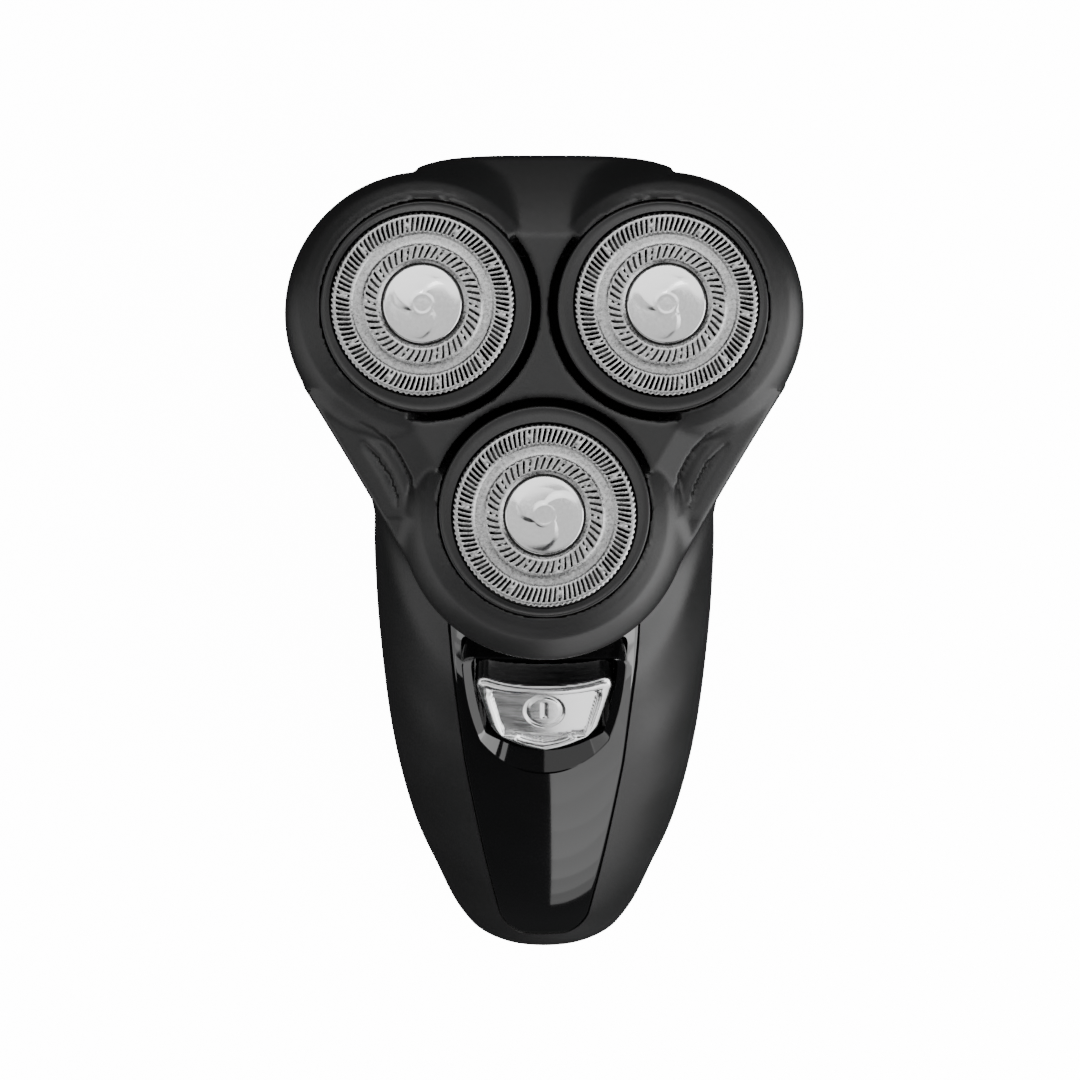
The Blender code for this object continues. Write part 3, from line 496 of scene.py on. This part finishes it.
def head_outline(x, y):
    """Signed distance from the head's outline seen along the cutters."""
    x = np.abs(x)
    upper = np.hypot(x - UPPER_LOBE[0], y - UPPER_LOBE[1]) - UPPER_LOBE[2]
    lower = np.hypot(x, y - LOWER_LOBE[0]) - LOWER_LOBE[1]
    tab_edge = TAB_TOP - 0.7 * (x / 13) ** 4
    tab = np.maximum(np.maximum(x - TAB_HALF_WIDTH, y - tab_edge), UPPER_LOBE[1] - y)
    along = np.subtract(FLANK_FOOT, FLANK_TOP)
    length = math.hypot(*along)
    along = along / length
    travelled = (x - FLANK_TOP[0]) * along[0] + (y - FLANK_TOP[1]) * along[1]
    outside = (x - FLANK_TOP[0]) * -along[1] + (y - FLANK_TOP[1]) * along[0]
    sag = FLANK_SAG * (1 - (2 * travelled / length - 1) ** 2)
    beyond = np.maximum(-travelled, travelled - length)
    flank = np.maximum(np.maximum(outside + sag, y - UPPER_LOBE[1]), beyond)
    return np.minimum(np.minimum(upper, lower), np.minimum(tab, flank))


def neck_outline(x, y):
    """Rough signed distance from the egg-shaped rim where the head meets the handle."""
    (front, _), (back, _), half_width, split, roundness = STATIONS[0]
    middle = front + split * (back - front)
    below = y < middle
    power = np.where(below, roundness, BACK_ROUNDNESS)
    reach = np.where(below, middle - front, back - middle)
    level = ((np.abs(x) / half_width) ** power + (np.abs(y - middle) / reach) ** power) ** (1 / power)
    return np.hypot(x, y - middle) * (1 - 1 / np.maximum(level, 0.05))


def lobe_top(radius):
    """Height over one cutter: narrow lip, cone, then the rounding past the crease."""
    cone = LIP_Z - CONE_SLOPE * np.maximum(radius - LIP_RADIUS, 0)
    past = np.maximum(radius - CREASE_RADIUS, 0)
    return cone - 0.5 * past - 0.2 * past ** 2


def base_top(x, y):
    """Sunk plate between the cutters, its ramp to the tab and the falling flanks."""
    x = np.abs(x)
    past = np.maximum(y - RAMP_EDGE, 0)
    ramp = RAMP_SLOPE * past + RAMP_CURVE * past ** 2
    flank = np.maximum(FLANK_EDGE[0] * (x - FLANK_EDGE[2]) - FLANK_EDGE[1] * (y - FLANK_EDGE[3]), 0)
    outer = 0.5 * np.maximum(x - 17, 0) * (y > -2) + 0.5 * np.maximum(-18 - y, 0)
    return VALLEY_Z - ramp - 0.2 * flank - 0.2 * np.minimum(flank, FLANK_BEND) - outer


def groove_depth(x, y, ends, bulge, depth, width):
    """Crescent cut in a flank: a sharp step on its inner side that fades outwards."""
    first, last = np.array(ends[0]), np.array(ends[1])
    chord = last - first
    half = math.hypot(*chord) / 2
    radius = (half * half + bulge * bulge) / (2 * bulge)
    normal = np.array((-chord[1], chord[0])) / (2 * half)
    centre = (first + last) / 2 + normal * (radius - bulge)
    px, py = np.abs(x) - centre[0], y - centre[1]
    off = radius - np.hypot(px, py)
    sweep = (px * chord[0] + py * chord[1]) / (2 * half)
    share = np.clip(1 - (sweep / half) ** 2, 0, 1)
    fade = np.clip(1 - off / (width * np.sqrt(share) + 0.01), 0, 1) ** 1.5
    return np.where(off > 0, depth * np.sqrt(share) * fade, 0.0)


def lobe_and_bore(side, x, y, z):
    """Height of one lobe, and the field of its bore with the groove on the side of the plate."""
    centre = cutter_centre(side)
    shifted = cutter_centre(side, EDGE_SHIFT)
    dx, dy = x - shifted[0], y - shifted[1]
    reach = np.hypot(dx, dy)
    inward = -(dx * centre[0] + dy * centre[1]) / np.maximum(reach * PITCH_RADIUS, 1e-6)
    share = np.clip((inward - VALLEY_COSINE[0]) / (VALLEY_COSINE[1] - VALLEY_COSINE[0]), 0, 1)
    share = share * share * (3 - 2 * share)
    top = lobe_top(np.hypot(x - centre[0], y - centre[1]))
    sink = np.interp(np.degrees(np.arccos(np.clip(inward, -1, 1))), *CONE_SINK)
    groove = np.minimum(VALLEY_BORE - reach, z - top + VALLEY_DROP * share)
    return top - sink, np.maximum(FRAME_BORE - reach, groove)


def blend_width(x, y):
    """Width over which lobes and plate melt together: wide at the tab, less on the flanks."""
    tab_share = np.clip((y - RAMP_EDGE - 1.5) / 6, 0, 1)
    flank_share = np.clip((np.abs(x) - 15) / 6, 0, 1) * (y < 0) + np.clip((-14 - y) / 6, 0, 1)
    return 0.2 + 3.5 * tab_share + 1.6 * np.minimum(flank_share, 1)


def head_side_wall(x, y, z):
    """Side wall: the head's outline, rounded above, that turns into the handle's rim below."""
    climb = np.clip(1 - (np.maximum(z - ROUND_START, 0) / ROUND_TALL) ** 2, 0, 1)
    rounding = ROUND_WIDE * (1 - np.sqrt(climb))
    neck_share = np.interp(-z, (8.5, 11.5, 14.2, 15.8), (0, 0.25, 0.75, 1.0))
    return head_outline(x, y) * (1 - neck_share) + neck_outline(x, y) * neck_share + rounding


def build_head_frame():
    """Three-lobed frame with its sunk plate, gaps round the cutters, flanks and hollow underside."""
    low, high = (-33.6, -36.2, -16.6), (33.6, 29.0, -0.6)
    x, y, z = sample_grid(low, high, VOXEL)
    flat_x, flat_y = x[:, :, :1], y[:, :, :1]
    top = base_top(flat_x, flat_y)
    for ends, bulge, depth, width in FLANK_GROOVES:
        top = top - groove_depth(flat_x, flat_y, ends, bulge, depth, width)
    bores = []
    lobes = np.full(flat_x.shape, -20.0)
    for side in SIDES:
        lobe, bore = lobe_and_bore(side, flat_x, flat_y, z)
        lobes = np.maximum(lobes, lobe)
        bores.append(bore)
    top = -smooth_union(-top, -lobes, blend_width(flat_x, flat_y))
    side_wall = head_side_wall(flat_x, flat_y, z)
    body = smooth_cut(side_wall, (z - top) * 0.85, 0.5)
    ceiling = np.minimum(CEILING_Z, top - 1.9)
    cavity = np.maximum(side_wall + HEAD_WALL, z - ceiling)
    body = np.maximum(body, -cavity)
    for bore in bores:
        body = smooth_cut(body, bore, 0.3)
    body = np.maximum(body, SKIRT_Z - z)
    verts, faces = voxel_solid(body, low, VOXEL)
    piece("head_shell", verts, faces, LOOKS["black_shell"], "head", "black_shell", 34, "head_frame")


# ---------------------------------------------------------------- cutters

def build_cutter_ring(side):
    """Ring round a guard: dark recess, sloping top and a rounded edge off centre."""
    bore = GUARD_RADIUS + 0.14
    crest = bore + 0.14
    shoulder = RING_EDGE - RING_ROUND
    edge_top = RING_TOP - RING_FALL * 0.4
    profile = [(bore, RING_DEPTH, 0), (bore, -0.85, 0), (crest, RING_TOP, 0)]
    for share in (0.25, 0.5, 0.75):
        profile.append((crest + (shoulder - crest) * share, RING_TOP - RING_FALL * share, EDGE_SHIFT * share))
    profile.append((shoulder - 0.12, RING_TOP - RING_FALL * 0.5, EDGE_SHIFT * 0.9))
    for step in range(7):
        angle = math.pi / 2 * step / 6
        profile.append((shoulder + RING_ROUND * math.sin(angle),
                        edge_top - RING_ROUND * (1 - math.cos(angle)), EDGE_SHIFT))
    profile.append((RING_EDGE, RING_DEPTH, EDGE_SHIFT))
    piece("ring_cover_" + side, *turned(profile, 160, cutter_centre(side)), LOOKS["cutter_ring_plastic"],
          "ring_" + side, "cutter_ring_plastic", 40, "cutter_ring_" + side)


def guard_height(radius):
    return float(np.interp(radius, *zip(*GUARD_PROFILE)))


def guard_twist(radius):
    """Slots lean backwards as they go outwards."""
    inner = min(max((radius - 5.7) / 1.8, 0), 1)
    outer = min(max((radius - 9.0) / 1.9, 0), 1)
    return -math.radians(6.6 * inner + 2.4 * outer)


def slot_open(radius, column):
    """Whether the guard is open there. Every tenth outer and every fifth inner slot is a row of dots."""
    if OUTER_SLOTS[0] < radius < OUTER_SLOTS[1]:
        dots = column // 4 % 10 == 0
        return column % 4 < 2 and (not dots or radius < 9.4 or radius > 10.5)
    if INNER_SLOTS[0] < radius < INNER_SLOTS[1]:
        dots = column // 8 % 5 == 0
        return column % 8 < 3 and (not dots or radius < 6.1 or 6.6 < radius < 6.85)
    return False


def build_guard(side):
    """Slotted steel guard with a serrated rim, as one shell."""
    centre = cutter_centre(side)
    heights = [guard_height(radius) for radius in GUARD_ROWS[:-2]] + list(GUARD_SIDE)
    verts, faces = [], []
    for row, (radius, z) in enumerate(zip(GUARD_ROWS, heights)):
        for column in range(GUARD_COLUMNS):
            tooth = TOOTH_DEPTH if column % 4 < 2 and TOOTH_ROWS[0] < row < TOOTH_ROWS[1] else 0.0
            angle = math.tau * column / GUARD_COLUMNS + guard_twist(radius)
            reach = radius - tooth
            verts.append((centre[0] + reach * math.cos(angle), centre[1] + reach * math.sin(angle), z))
    for row in range(len(GUARD_ROWS) - 1):
        middle = (GUARD_ROWS[row] + GUARD_ROWS[row + 1]) / 2
        near = row * GUARD_COLUMNS
        far = near + GUARD_COLUMNS
        for column in range(GUARD_COLUMNS):
            after = (column + 1) % GUARD_COLUMNS
            if not slot_open(middle, column):
                faces.append((near + column, far + column, far + after, near + after))
    guard = piece("guard_" + side, verts, faces, LOOKS["cutter_steel"], "guard_" + side, "cutter_steel",
                  30, "outer_cutter_" + side)
    thicken(guard, GUARD_WALL)


def thicken(item, amount):
    """Give an open sheet its thickness below its upper face, in millimetres."""
    shell = item.modifiers.new("thickness", "SOLIDIFY")
    shell.thickness = amount * MM
    shell.offset = -1.0


def cap_height(radius, angle):
    """Dome with a swirl of three raised arms and a small ring in the middle."""
    dome = 0.20 - 0.34 * (radius / CAP_RADIUS) ** 2.2
    turn = (3 * (angle + 0.30 * radius) / math.tau) % 1.0
    blade = turn if turn < 0.84 else 0.84 * (1 - turn) / 0.16
    inner = min(max((radius - 1.35) / 0.5, 0), 1)
    outer = min(max((4.4 - radius) / 0.9, 0), 1)
    centre = 0.03 * math.exp(-((radius - 1.25) / 0.22) ** 2)
    return dome + 0.14 * (blade - 0.5) * inner * outer + centre


def cap_ring(centre, radius, height, columns=144):
    """Closed ring of points; height is asked for each angle."""
    ring = []
    for column in range(columns):
        angle = math.tau * column / columns
        ring.append((centre[0] + radius * math.cos(angle),
                     centre[1] + radius * math.sin(angle), height(angle)))
    return ring


def build_cap(side):
    """Polished centre cap: the dome's rings, then its rounded edge and its wall."""
    centre = cutter_centre(side)
    rows = 46
    rings = []
    for row in range(1, rows + 1):
        radius = (CAP_RADIUS - 0.12) * row / rows
        rings.append(cap_ring(centre, radius, lambda angle: cap_height(radius, angle)))
    for reach, z in ((CAP_RADIUS - 0.03, -0.24), (CAP_RADIUS, -0.4), (CAP_RADIUS, CAP_FOOT)):
        rings.append(cap_ring(centre, reach, lambda angle: z))
    piece("cap_" + side, *loft(rings), LOOKS["polished_cap"], "guard_" + side, "polished_cap", 50,
          "centre_cap_" + side)


# ---------------------------------------------------------------- skin of the handle

def blend_points(values, where):
    """Catmull-Rom value at a fractional station."""
    index = min(int(where), len(values) - 2)
    part = where - index
    before, first = values[max(index - 1, 0)], values[index]
    second, after = values[index + 1], values[min(index + 2, len(values) - 1)]
    return (first + 0.5 * part * (second - before
            + part * (2 * before - 5 * first + 4 * second - after
                      + part * (3 * (first - second) + after - before))))


STATION_ROWS = list(zip(*[(*head, *tail, width, split, roundness)
                          for head, tail, width, split, roundness in STATIONS]))
known_sections = {}


def section(where):
    """Front point, back point (y, z), half width, split and front roundness at a station."""
    if where not in known_sections:
        fy, fz, by, bz, width, split, roundness = (blend_points(values, where) for values in STATION_ROWS)
        known_sections[where] = Vector((fy, fz)), Vector((by, bz)), width, split, roundness
    return known_sections[where]


def wall_at(where):
    return WALL + (TIP_WALL - WALL) * max(0.0, (where - THIN_FROM) / (TIP - THIN_FROM))


def towards_back(point):
    """Distance of a (y, z) point along the normal of the back's flat strip."""
    return math.cos(BACK_TILT) * point[0] - math.sin(BACK_TILT) * point[1]


BACK_PLANE = towards_back(STATIONS[5][1]) - FLAT_CUT


def slant(where, front):
    """Cosine between a station's depth and the normal of the front or back line there."""
    side = 0 if front else 1
    before, after = max(where - 0.1, 0.0), min(where + 0.1, float(TIP))
    along = (section(after)[side] - section(before)[side]).normalized()
    deep = (section(where)[1] - section(where)[0]).normalized()
    return max(abs(along.cross(deep)), 0.5)


def skin(where, x, front=True, inset=0.0):
    """Point of the handle's skin at a station and a distance x off the middle."""
    head, tail, width, split, roundness = section(where)
    deep = tail - head
    middle = head + deep * split
    reach = deep.length * (split if front else 1 - split)
    if inset:
        reach -= inset / slant(where, front)
    power = roundness if front else BACK_ROUNDNESS
    share = min(abs(x) / (width - inset), 1.0)
    height = max(reach * (1 - share ** power) ** (1 / power), GAP / 2)
    inward = deep.normalized()
    point = middle + inward * (-height if front else height)
    past = towards_back(point) + inset - BACK_PLANE
    if not front and past > 0:
        point -= inward * past / towards_back(inward)
    return Vector((x, point[0], point[1]))


def half_ring(where, front, inset, count):
    """Points over the front or the back of one station, from +X to -X."""
    width, roundness = section(where)[2], section(where)[4]
    power = roundness if front else BACK_ROUNDNESS
    points = []
    for step in range(count):
        angle = math.pi * step / (count - 1)
        x = (width - inset) * math.copysign(abs(math.cos(angle)) ** (2 / power), math.cos(angle))
        points.append(skin(where, x, front, inset))
    return points


def front_station(down):
    """Station whose front point lies this far down the front line."""
    near, far = 0.0, float(TIP)
    for _ in range(24):
        middle = (near + far) / 2
        if -blend_points(STATION_ROWS[0], middle) < down:
            near = middle
        else:
            far = middle
    return near


def sunk_point(down, x, depth):
    """Point of the front skin, moved inwards along the skin's normal."""
    here = skin(front_station(down), x)
    along = skin(front_station(down + 0.5), x) - here
    across = skin(front_station(down), x + 0.2) - skin(front_station(down), x - 0.2)
    return here + across.cross(along).normalized() * depth


# ---------------------------------------------------------------- housings and panel

def housing(front, rows=84, columns=57):
    """Outer and inner point grids of one half of the handle."""
    places = [TIP * row / (rows - 1) for row in range(rows)]
    outer = [half_ring(where, front, 0.0, columns) for where in places]
    inner = [half_ring(where, front, wall_at(where), columns) for where in places]
    return thick_sheet(outer, inner)


def panel_half_width(down):
    for (low, first), (high, second) in zip(PANEL_WIDTHS, PANEL_WIDTHS[1:]):
        if down <= high:
            return first + (second - first) * (down - low) / (high - low)
    return PANEL_WIDTHS[-1][1] - 0.3 * (down - PANEL_WIDTHS[-1][0])


def panel_outline_width(down, grow):
    """Half width of the panel, with round corners at its foot."""
    width = panel_half_width(down) + grow
    left = PANEL_FOOT + grow - down
    if left < PANEL_CORNER:
        width -= PANEL_CORNER - math.sqrt(max(PANEL_CORNER ** 2 - (PANEL_CORNER - left) ** 2, 0))
    return width


def panel_shape(grow, high, low, rows=60, columns=41, edge=0.0):
    """Curved plate that follows the front skin between two depths; its border sinks by edge."""
    top = PANEL_TOP - grow
    foot = PANEL_FOOT + grow
    downs = [top + (foot - PANEL_CORNER - top) * row / rows for row in range(rows)]
    downs += [foot - PANEL_CORNER * (1 - math.sin(math.pi / 2 * step / 12)) for step in range(13)]
    upper, lower = [], []
    for down in downs:
        width = panel_outline_width(down, grow)
        line_up, line_low = [], []
        for column in range(columns):
            share = -math.sin(math.pi * (column / (columns - 1) - 0.5))
            border = min(width * (1 - abs(share)), foot - down)
            sunk = edge * max(1 - border / 0.35, 0) ** 2
            line_up.append(sunk_point(down, width * share, high + sunk))
            line_low.append(sunk_point(down, width * share, low))
        upper.append(line_up)
        lower.append(line_low)
    return thick_sheet(upper, lower)


def build_handle():
    """Front and rear housings, with the pocket of the panel and the opening of the switch."""
    look = LOOKS["black_shell"]
    piece("rear_cover", *housing(False), look, "handle", "black_shell", 40, "rear_housing")
    front = piece("front_cover", *housing(True), look, "handle", "black_shell", 40, "front_housing")
    carve(front, *panel_shape(0.14, -3.0, PANEL_THICKNESS + GAP, 30, 21), 40)
    carve(front, *switch_tool(0.45, 10.0), 40)


def build_panel():
    panel = piece("gloss_panel", *panel_shape(0.0, 0.0, PANEL_THICKNESS, edge=0.16), LOOKS["gloss_panel"],
                  "handle", "gloss_panel", 32, "front_panel")
    carve(panel, *switch_tool(0.12, 8.0), 32)


# ---------------------------------------------------------------- switch

def switch_frame(x, up, out):
    """Point given across, up the slope and out of the surface at the switch."""
    return Vector((x, SWITCH_Y + up * math.cos(SLOPE) - out * math.sin(SLOPE),
                   SWITCH_Z + up * math.sin(SLOPE) + out * math.cos(SLOPE)))


def curve(first, control, last, count):
    """Points of a quadratic curve, without its first point."""
    points = []
    for step in range(1, count + 1):
        t = step / count
        points.append(tuple((1 - t) ** 2 * a + 2 * t * (1 - t) * b + t * t * c
                            for a, b, c in zip(first, control, last)))
    return points


def shield(top, dip, shoulder, corner, foot, bulge, belly, radius):
    """Shield outline from its right half: top line, rounded shoulder, side, corner and round foot."""
    start = (shoulder[0] - radius, top)
    half = curve((0, top - dip), (shoulder[0] * 0.55, top - dip), start, 10)
    half = [(0, top - dip)] + half
    half += curve(start, shoulder, (shoulder[0], top - radius), 5)
    half += curve((shoulder[0], top - radius), bulge, corner, 12)
    half += curve(corner, belly, (0, foot), 14)
    return half + [(-x, up) for x, up in reversed(half[1:-1])]


RIM_OUTLINE = shield(top=10.9, dip=0.0, shoulder=(10.7, 10.9), corner=(8.5, -4.9), foot=-11.1,
                     bulge=(10.45, 1.9), belly=(5.0, -11.1), radius=1.6)
OPENING_OUTLINE = shield(top=10.3, dip=0.0, shoulder=(9.5, 10.3), corner=(7.75, -4.0), foot=-7.9,
                         bulge=(9.35, 4.1), belly=(4.5, -7.9), radius=1.4)
SLIDER_OUTLINE = shield(top=6.4, dip=0.9, shoulder=(9.0, 6.5), corner=(7.2, -2.7), foot=-7.0,
                        bulge=(8.45, 2.6), belly=(5.4, -5.9), radius=1.7)
DISH_OUTLINE = shield(top=4.0, dip=0.4, shoulder=(6.9, 4.1), corner=(5.3, -4.0), foot=-4.1,
                      bulge=(6.6, 1.0), belly=(3.0, -4.15), radius=0.8)


def grown(outline, grow):
    """Outline scaled outwards so that its sides move by about grow."""
    return [(x * (1 + grow / SHIELD_REACH), up * (1 + grow / SHIELD_REACH)) for x, up in outline]


def switch_tool(grow, depth):
    """Solid through the skin along the outline of the switch bezel."""
    return loft([[switch_frame(x, up, out) for x, up in grown(RIM_OUTLINE, grow)] for out in (6.0, -depth)])


def skin_height(x, up):
    """Height of the front skin above the switch's plane, along its normal."""
    low, high = -12.0, 6.0
    for _ in range(20):
        out = (low + high) / 2
        point = switch_frame(x, up, out)
        if skin(front_station(-point.y), x).z > point.z:
            low = out
        else:
            high = out
    return low


def chamfer_depth(up):
    return float(np.interp(up, *CHAMFER_DEPTHS))


def build_switch_bezel():
    """Glossy tray: bevelled rim, walls and a floor with the stem's slot."""

    def ring(outline, height):
        return [switch_frame(x, up, height(x, up)) for x, up in outline]

    heights = {point: skin_height(*point) for point in set(RIM_OUTLINE) | set(OPENING_OUTLINE)}
    base = grown(OPENING_OUTLINE, 0.7)
    lip = grown(RIM_OUTLINE, -0.15)
    inner = grown(OPENING_OUTLINE, -0.1)
    lip_height = {small: heights[full] for small, full in zip(lip, RIM_OUTLINE)}
    base_height = {wide: heights[full] for wide, full in zip(base, OPENING_OUTLINE)}
    rings = [ring(base, lambda x, up: TRAY_FLOOR - 1.2),
             ring(base, lambda x, up: min(TRAY_FLOOR, base_height[(x, up)] - 3.2)),
             ring(RIM_OUTLINE, lambda x, up: heights[(x, up)] - 1.9),
             ring(RIM_OUTLINE, lambda x, up: heights[(x, up)] - 0.15),
             ring(lip, lambda x, up: lip_height[(x, up)] - 0.05),
             ring(OPENING_OUTLINE, lambda x, up: heights[(x, up)] - chamfer_depth(up)),
             ring(inner, lambda x, up: TRAY_FLOOR + 2.5),
             ring(inner, lambda x, up: TRAY_FLOOR)]
    bezel = piece("switch_tray", *loft(rings), LOOKS["gloss_panel"], "handle", "gloss_panel", 20,
                  "switch_bezel")
    corners = ((-2.2, -3.0), (2.2, -3.0), (2.2, 5.2), (-2.2, 5.2))
    slot = [[switch_frame(x, up, out) for x, up in corners] for out in (TRAY_FLOOR - 3, TRAY_FLOOR + 3)]
    carve(bezel, *loft(slot), 20)


def power_sign(x, up):
    """Depth of the engraved power sign: a ring with a bar."""
    ring = np.abs(np.hypot(x / SIGN_RADII[0], (up - 0.2) / SIGN_RADII[1]) - 1) * 2.5
    bar = np.maximum(np.maximum(np.abs(x) - 0.04, np.abs(up - 0.35) - 1.2), 0)
    return SIGN_DEPTH * np.clip(1 - (np.minimum(ring, bar) / SIGN_LINE) ** 2, 0, 1)


def slider_top(x, up, edge, dish):
    """Height of the slider's face: rounded bead round the dish, a low lip under it, the sign."""
    inside = np.maximum(-edge, 0)
    limit = np.interp(up, (-4.5, -2.0), (0.7, 1.05))
    half = np.minimum((inside + np.maximum(dish, 0)) / 2, limit) + 0.01
    bead = BEAD_HEIGHT * np.sqrt(np.clip(1 - ((inside - half) / half) ** 2, 0, 1)) * (dish > 0)
    lip = LIP_HEIGHT * np.exp(-(dish / 0.35) ** 2) * (dish > 0) * (up < -3.6)
    lip = lip * np.clip(1 - (x / 4.4) ** 8, 0, 1)
    return SLIDER_FACE - 0.010 * x ** 2 + bead + lip - power_sign(x, up)


def build_power_slider():
    """Shield-shaped slider and the stem under it."""
    low, high = (-9.4, -7.6, -7.0), (9.4, 7.8, 0.3)
    x, up, out = sample_grid(low, high, SLIDER_VOXEL)
    flat_x, flat_up = x[:, :, :1], up[:, :, :1]
    edge = polygon_distance(SLIDER_OUTLINE, flat_x, flat_up)
    dish = polygon_distance(DISH_OUTLINE, flat_x, flat_up)
    top = slider_top(flat_x, flat_up, edge, dish)
    body = np.maximum(np.maximum(edge, out - top), SLIDER_FOOT - out)
    stem = np.maximum(np.abs(x) - 1.6, np.abs(up) - 1.8)
    stem = np.maximum(stem, np.maximum(STEM_FOOT - out, out + 3.0))
    verts, faces = voxel_solid(np.minimum(body, stem), low, SLIDER_VOXEL)
    verts = [switch_frame(*vert) for vert in verts]
    piece("slide_button", verts, faces, LOOKS["slider_silver"], "switch_slider", "slider_silver", 40,
          "power_slider")


# ---------------------------------------------------------------- looks of the kept solids

KEPT_LOOKS = {
    "cutter_coupling": "coupling_plastic", "inner_cutter": "blade_steel", "drive_gear": "gear_plastic",
    "switch_lever": "gear_plastic", "drive_spindle": "spindle_steel", "spindle_spring": "spindle_steel",
    "deck_screw": "spindle_steel", "drive_deck": "inner_grey_plastic", "gear_plate": "inner_grey_plastic",
    "cutter_retainer": "retainer_black_painted_shade", "retainer_knob": "inner_grey_plastic",
    "slide_switch": "inner_grey_plastic", "neck_seal": "seal_rubber", "spindle_seal": "seal_rubber",
    "motor_pinion": "pinion_brass", "charging_pin": "pinion_brass", "motor": "motor_steel",
    "battery_tab": "motor_steel", "battery": "cell_wrap", "charging_socket": "socket_plastic",
    "circuit_board": "board_laminate",
}


def dress_kept_solids():
    """Give every solid that stays visible its material, by the longest name that fits."""
    for name, item in frame["nodes"].items():
        known = sorted((key for key in KEPT_LOOKS if name.startswith(key)), key=len)
        if known:
            item.data.materials.clear()
            item.data.materials.append(LOOKS[KEPT_LOOKS[known[-1]]])


# ---------------------------------------------------------------- studio

def head_turn(x_axis, y_axis, z_axis, at):
    """Matrix whose axes are given in the head's frame."""
    matrix = Matrix((x_axis, y_axis, z_axis)).transposed().to_4x4()
    matrix.translation = Vector(at)
    return matrix


def build_camera():
    camera = bpy.data.cameras.new("photo_view")
    camera.sensor_width = 36.0
    camera.lens = 36.0 * CAMERA_AT[2] / FIELD
    camera.clip_start = 0.01
    item = bpy.data.objects.new("photo_view", camera)
    bpy.context.collection.objects.link(item)
    item.matrix_world = HEAD @ head_turn((1, 0, 0), (0, 1, 0), (0, 0, 1), [part * MM for part in CAMERA_AT])
    bpy.context.scene.camera = item


def card(name, at, towards, size, radiance):
    """Soft box at a point of the head's frame, facing another; sizes in millimetres."""
    away = (Vector(at) - Vector(towards)).normalized()
    up = Vector((0, 1, 0)) if away.z > 0.7 else Vector((0, 0, 1))
    across = up.cross(away).normalized()
    light = bpy.data.lights.new(name, "AREA")
    light.shape = "RECTANGLE"
    light.size, light.size_y = (side * MM for side in size)
    light.energy = radiance * math.pi * light.size * light.size_y
    item = bpy.data.objects.new(name, light)
    bpy.context.collection.objects.link(item)
    item.matrix_world = HEAD @ head_turn(across, away.cross(across), away, [part * MM for part in at])


def build_floor():
    """Plain white floor that glows for the camera, but lights nothing and shows in no reflection."""
    look, nodes, links, shader = new_look("floor_paint", (0.9, 0.9, 0.9), 0.9)
    vary(nodes, links, shader, noise(nodes, links, 30, 3.0), ((0.90,) * 3, (0.92,) * 3), (0.85, 0.95))
    shader.inputs["Emission Color"].default_value = (1.0, 1.0, 1.0, 1.0)
    shader.inputs["Emission Strength"].default_value = 14.0
    half = 3.0
    mesh = bpy.data.meshes.new("floor")
    corners = [(-half, -half, 0), (half, -half, 0), (half, half, 0), (-half, half, 0)]
    mesh.from_pydata(corners, [], [(0, 1, 2, 3)])
    mesh.materials.append(look)
    floor = bpy.data.objects.new("floor", mesh)
    bpy.context.collection.objects.link(floor)
    floor.location.z = -0.0005
    floor.visible_glossy = False
    floor.visible_diffuse = False


def build_studio():
    build_camera()
    build_floor()
    world = bpy.data.worlds.new("studio")
    world.use_nodes = True
    world.node_tree.nodes["Background"].inputs["Color"].default_value = (0.95, 0.97, 1.0, 1.0)
    world.node_tree.nodes["Background"].inputs["Strength"].default_value = 0.03
    bpy.context.scene.world = world
    card("front_low", (0, -60, 640), (0, -60, 0), (620, 270), 0.78)
    card("front_high", (0, 210, 620), (0, 60, 0), (620, 280), 1.95)
    card("ramp_box", (0, 385, 590), (0, 0, 0), (460, 90), 6.0)
    card("top_box", (0, 520, 380), (0, 0, 0), (560, 220), 0.5)
    card("right_box", (520, -200, 20), (0, -90, 0), (600, 500), 3.6)
    card("right_high", (430, -60, 440), (0, -60, 0), (420, 260), 2.6)
    card("left_box", (-520, -200, 20), (0, -90, 0), (540, 440), 1.3)
    card("left_high", (-430, -60, 440), (0, -60, 0), (420, 260), 1.4)
    card("low_right", (390, -330, 430), (0, -60, 0), (360, 280), 2.2)
    card("slider_right", (262, -460, 35), (262, 0, 35), (500, 150), 2.5)
    for step, radiance in enumerate(STRIP_RADIANCE):
        height = STRIP_TOP - STRIP_STEP * step
        card("panel_strip_%d" % step, (262, -460, height), (262, 0, height), (500, STRIP_STEP), radiance)
    card("slider_left", (-270, -460, 35), (-270, 0, 35), (440, 110), 1.6)
    card("chamfer_box", (-250, -460, 295), (-250, 0, 295), (500, 370), 0.8)


build_studio()
build_head_frame()
for cutter_side in SIDES:
    build_cutter_ring(cutter_side)
    build_guard(cutter_side)
    build_cap(cutter_side)
build_handle()
build_panel()
build_switch_bezel()
build_power_slider()
dress_kept_solids()
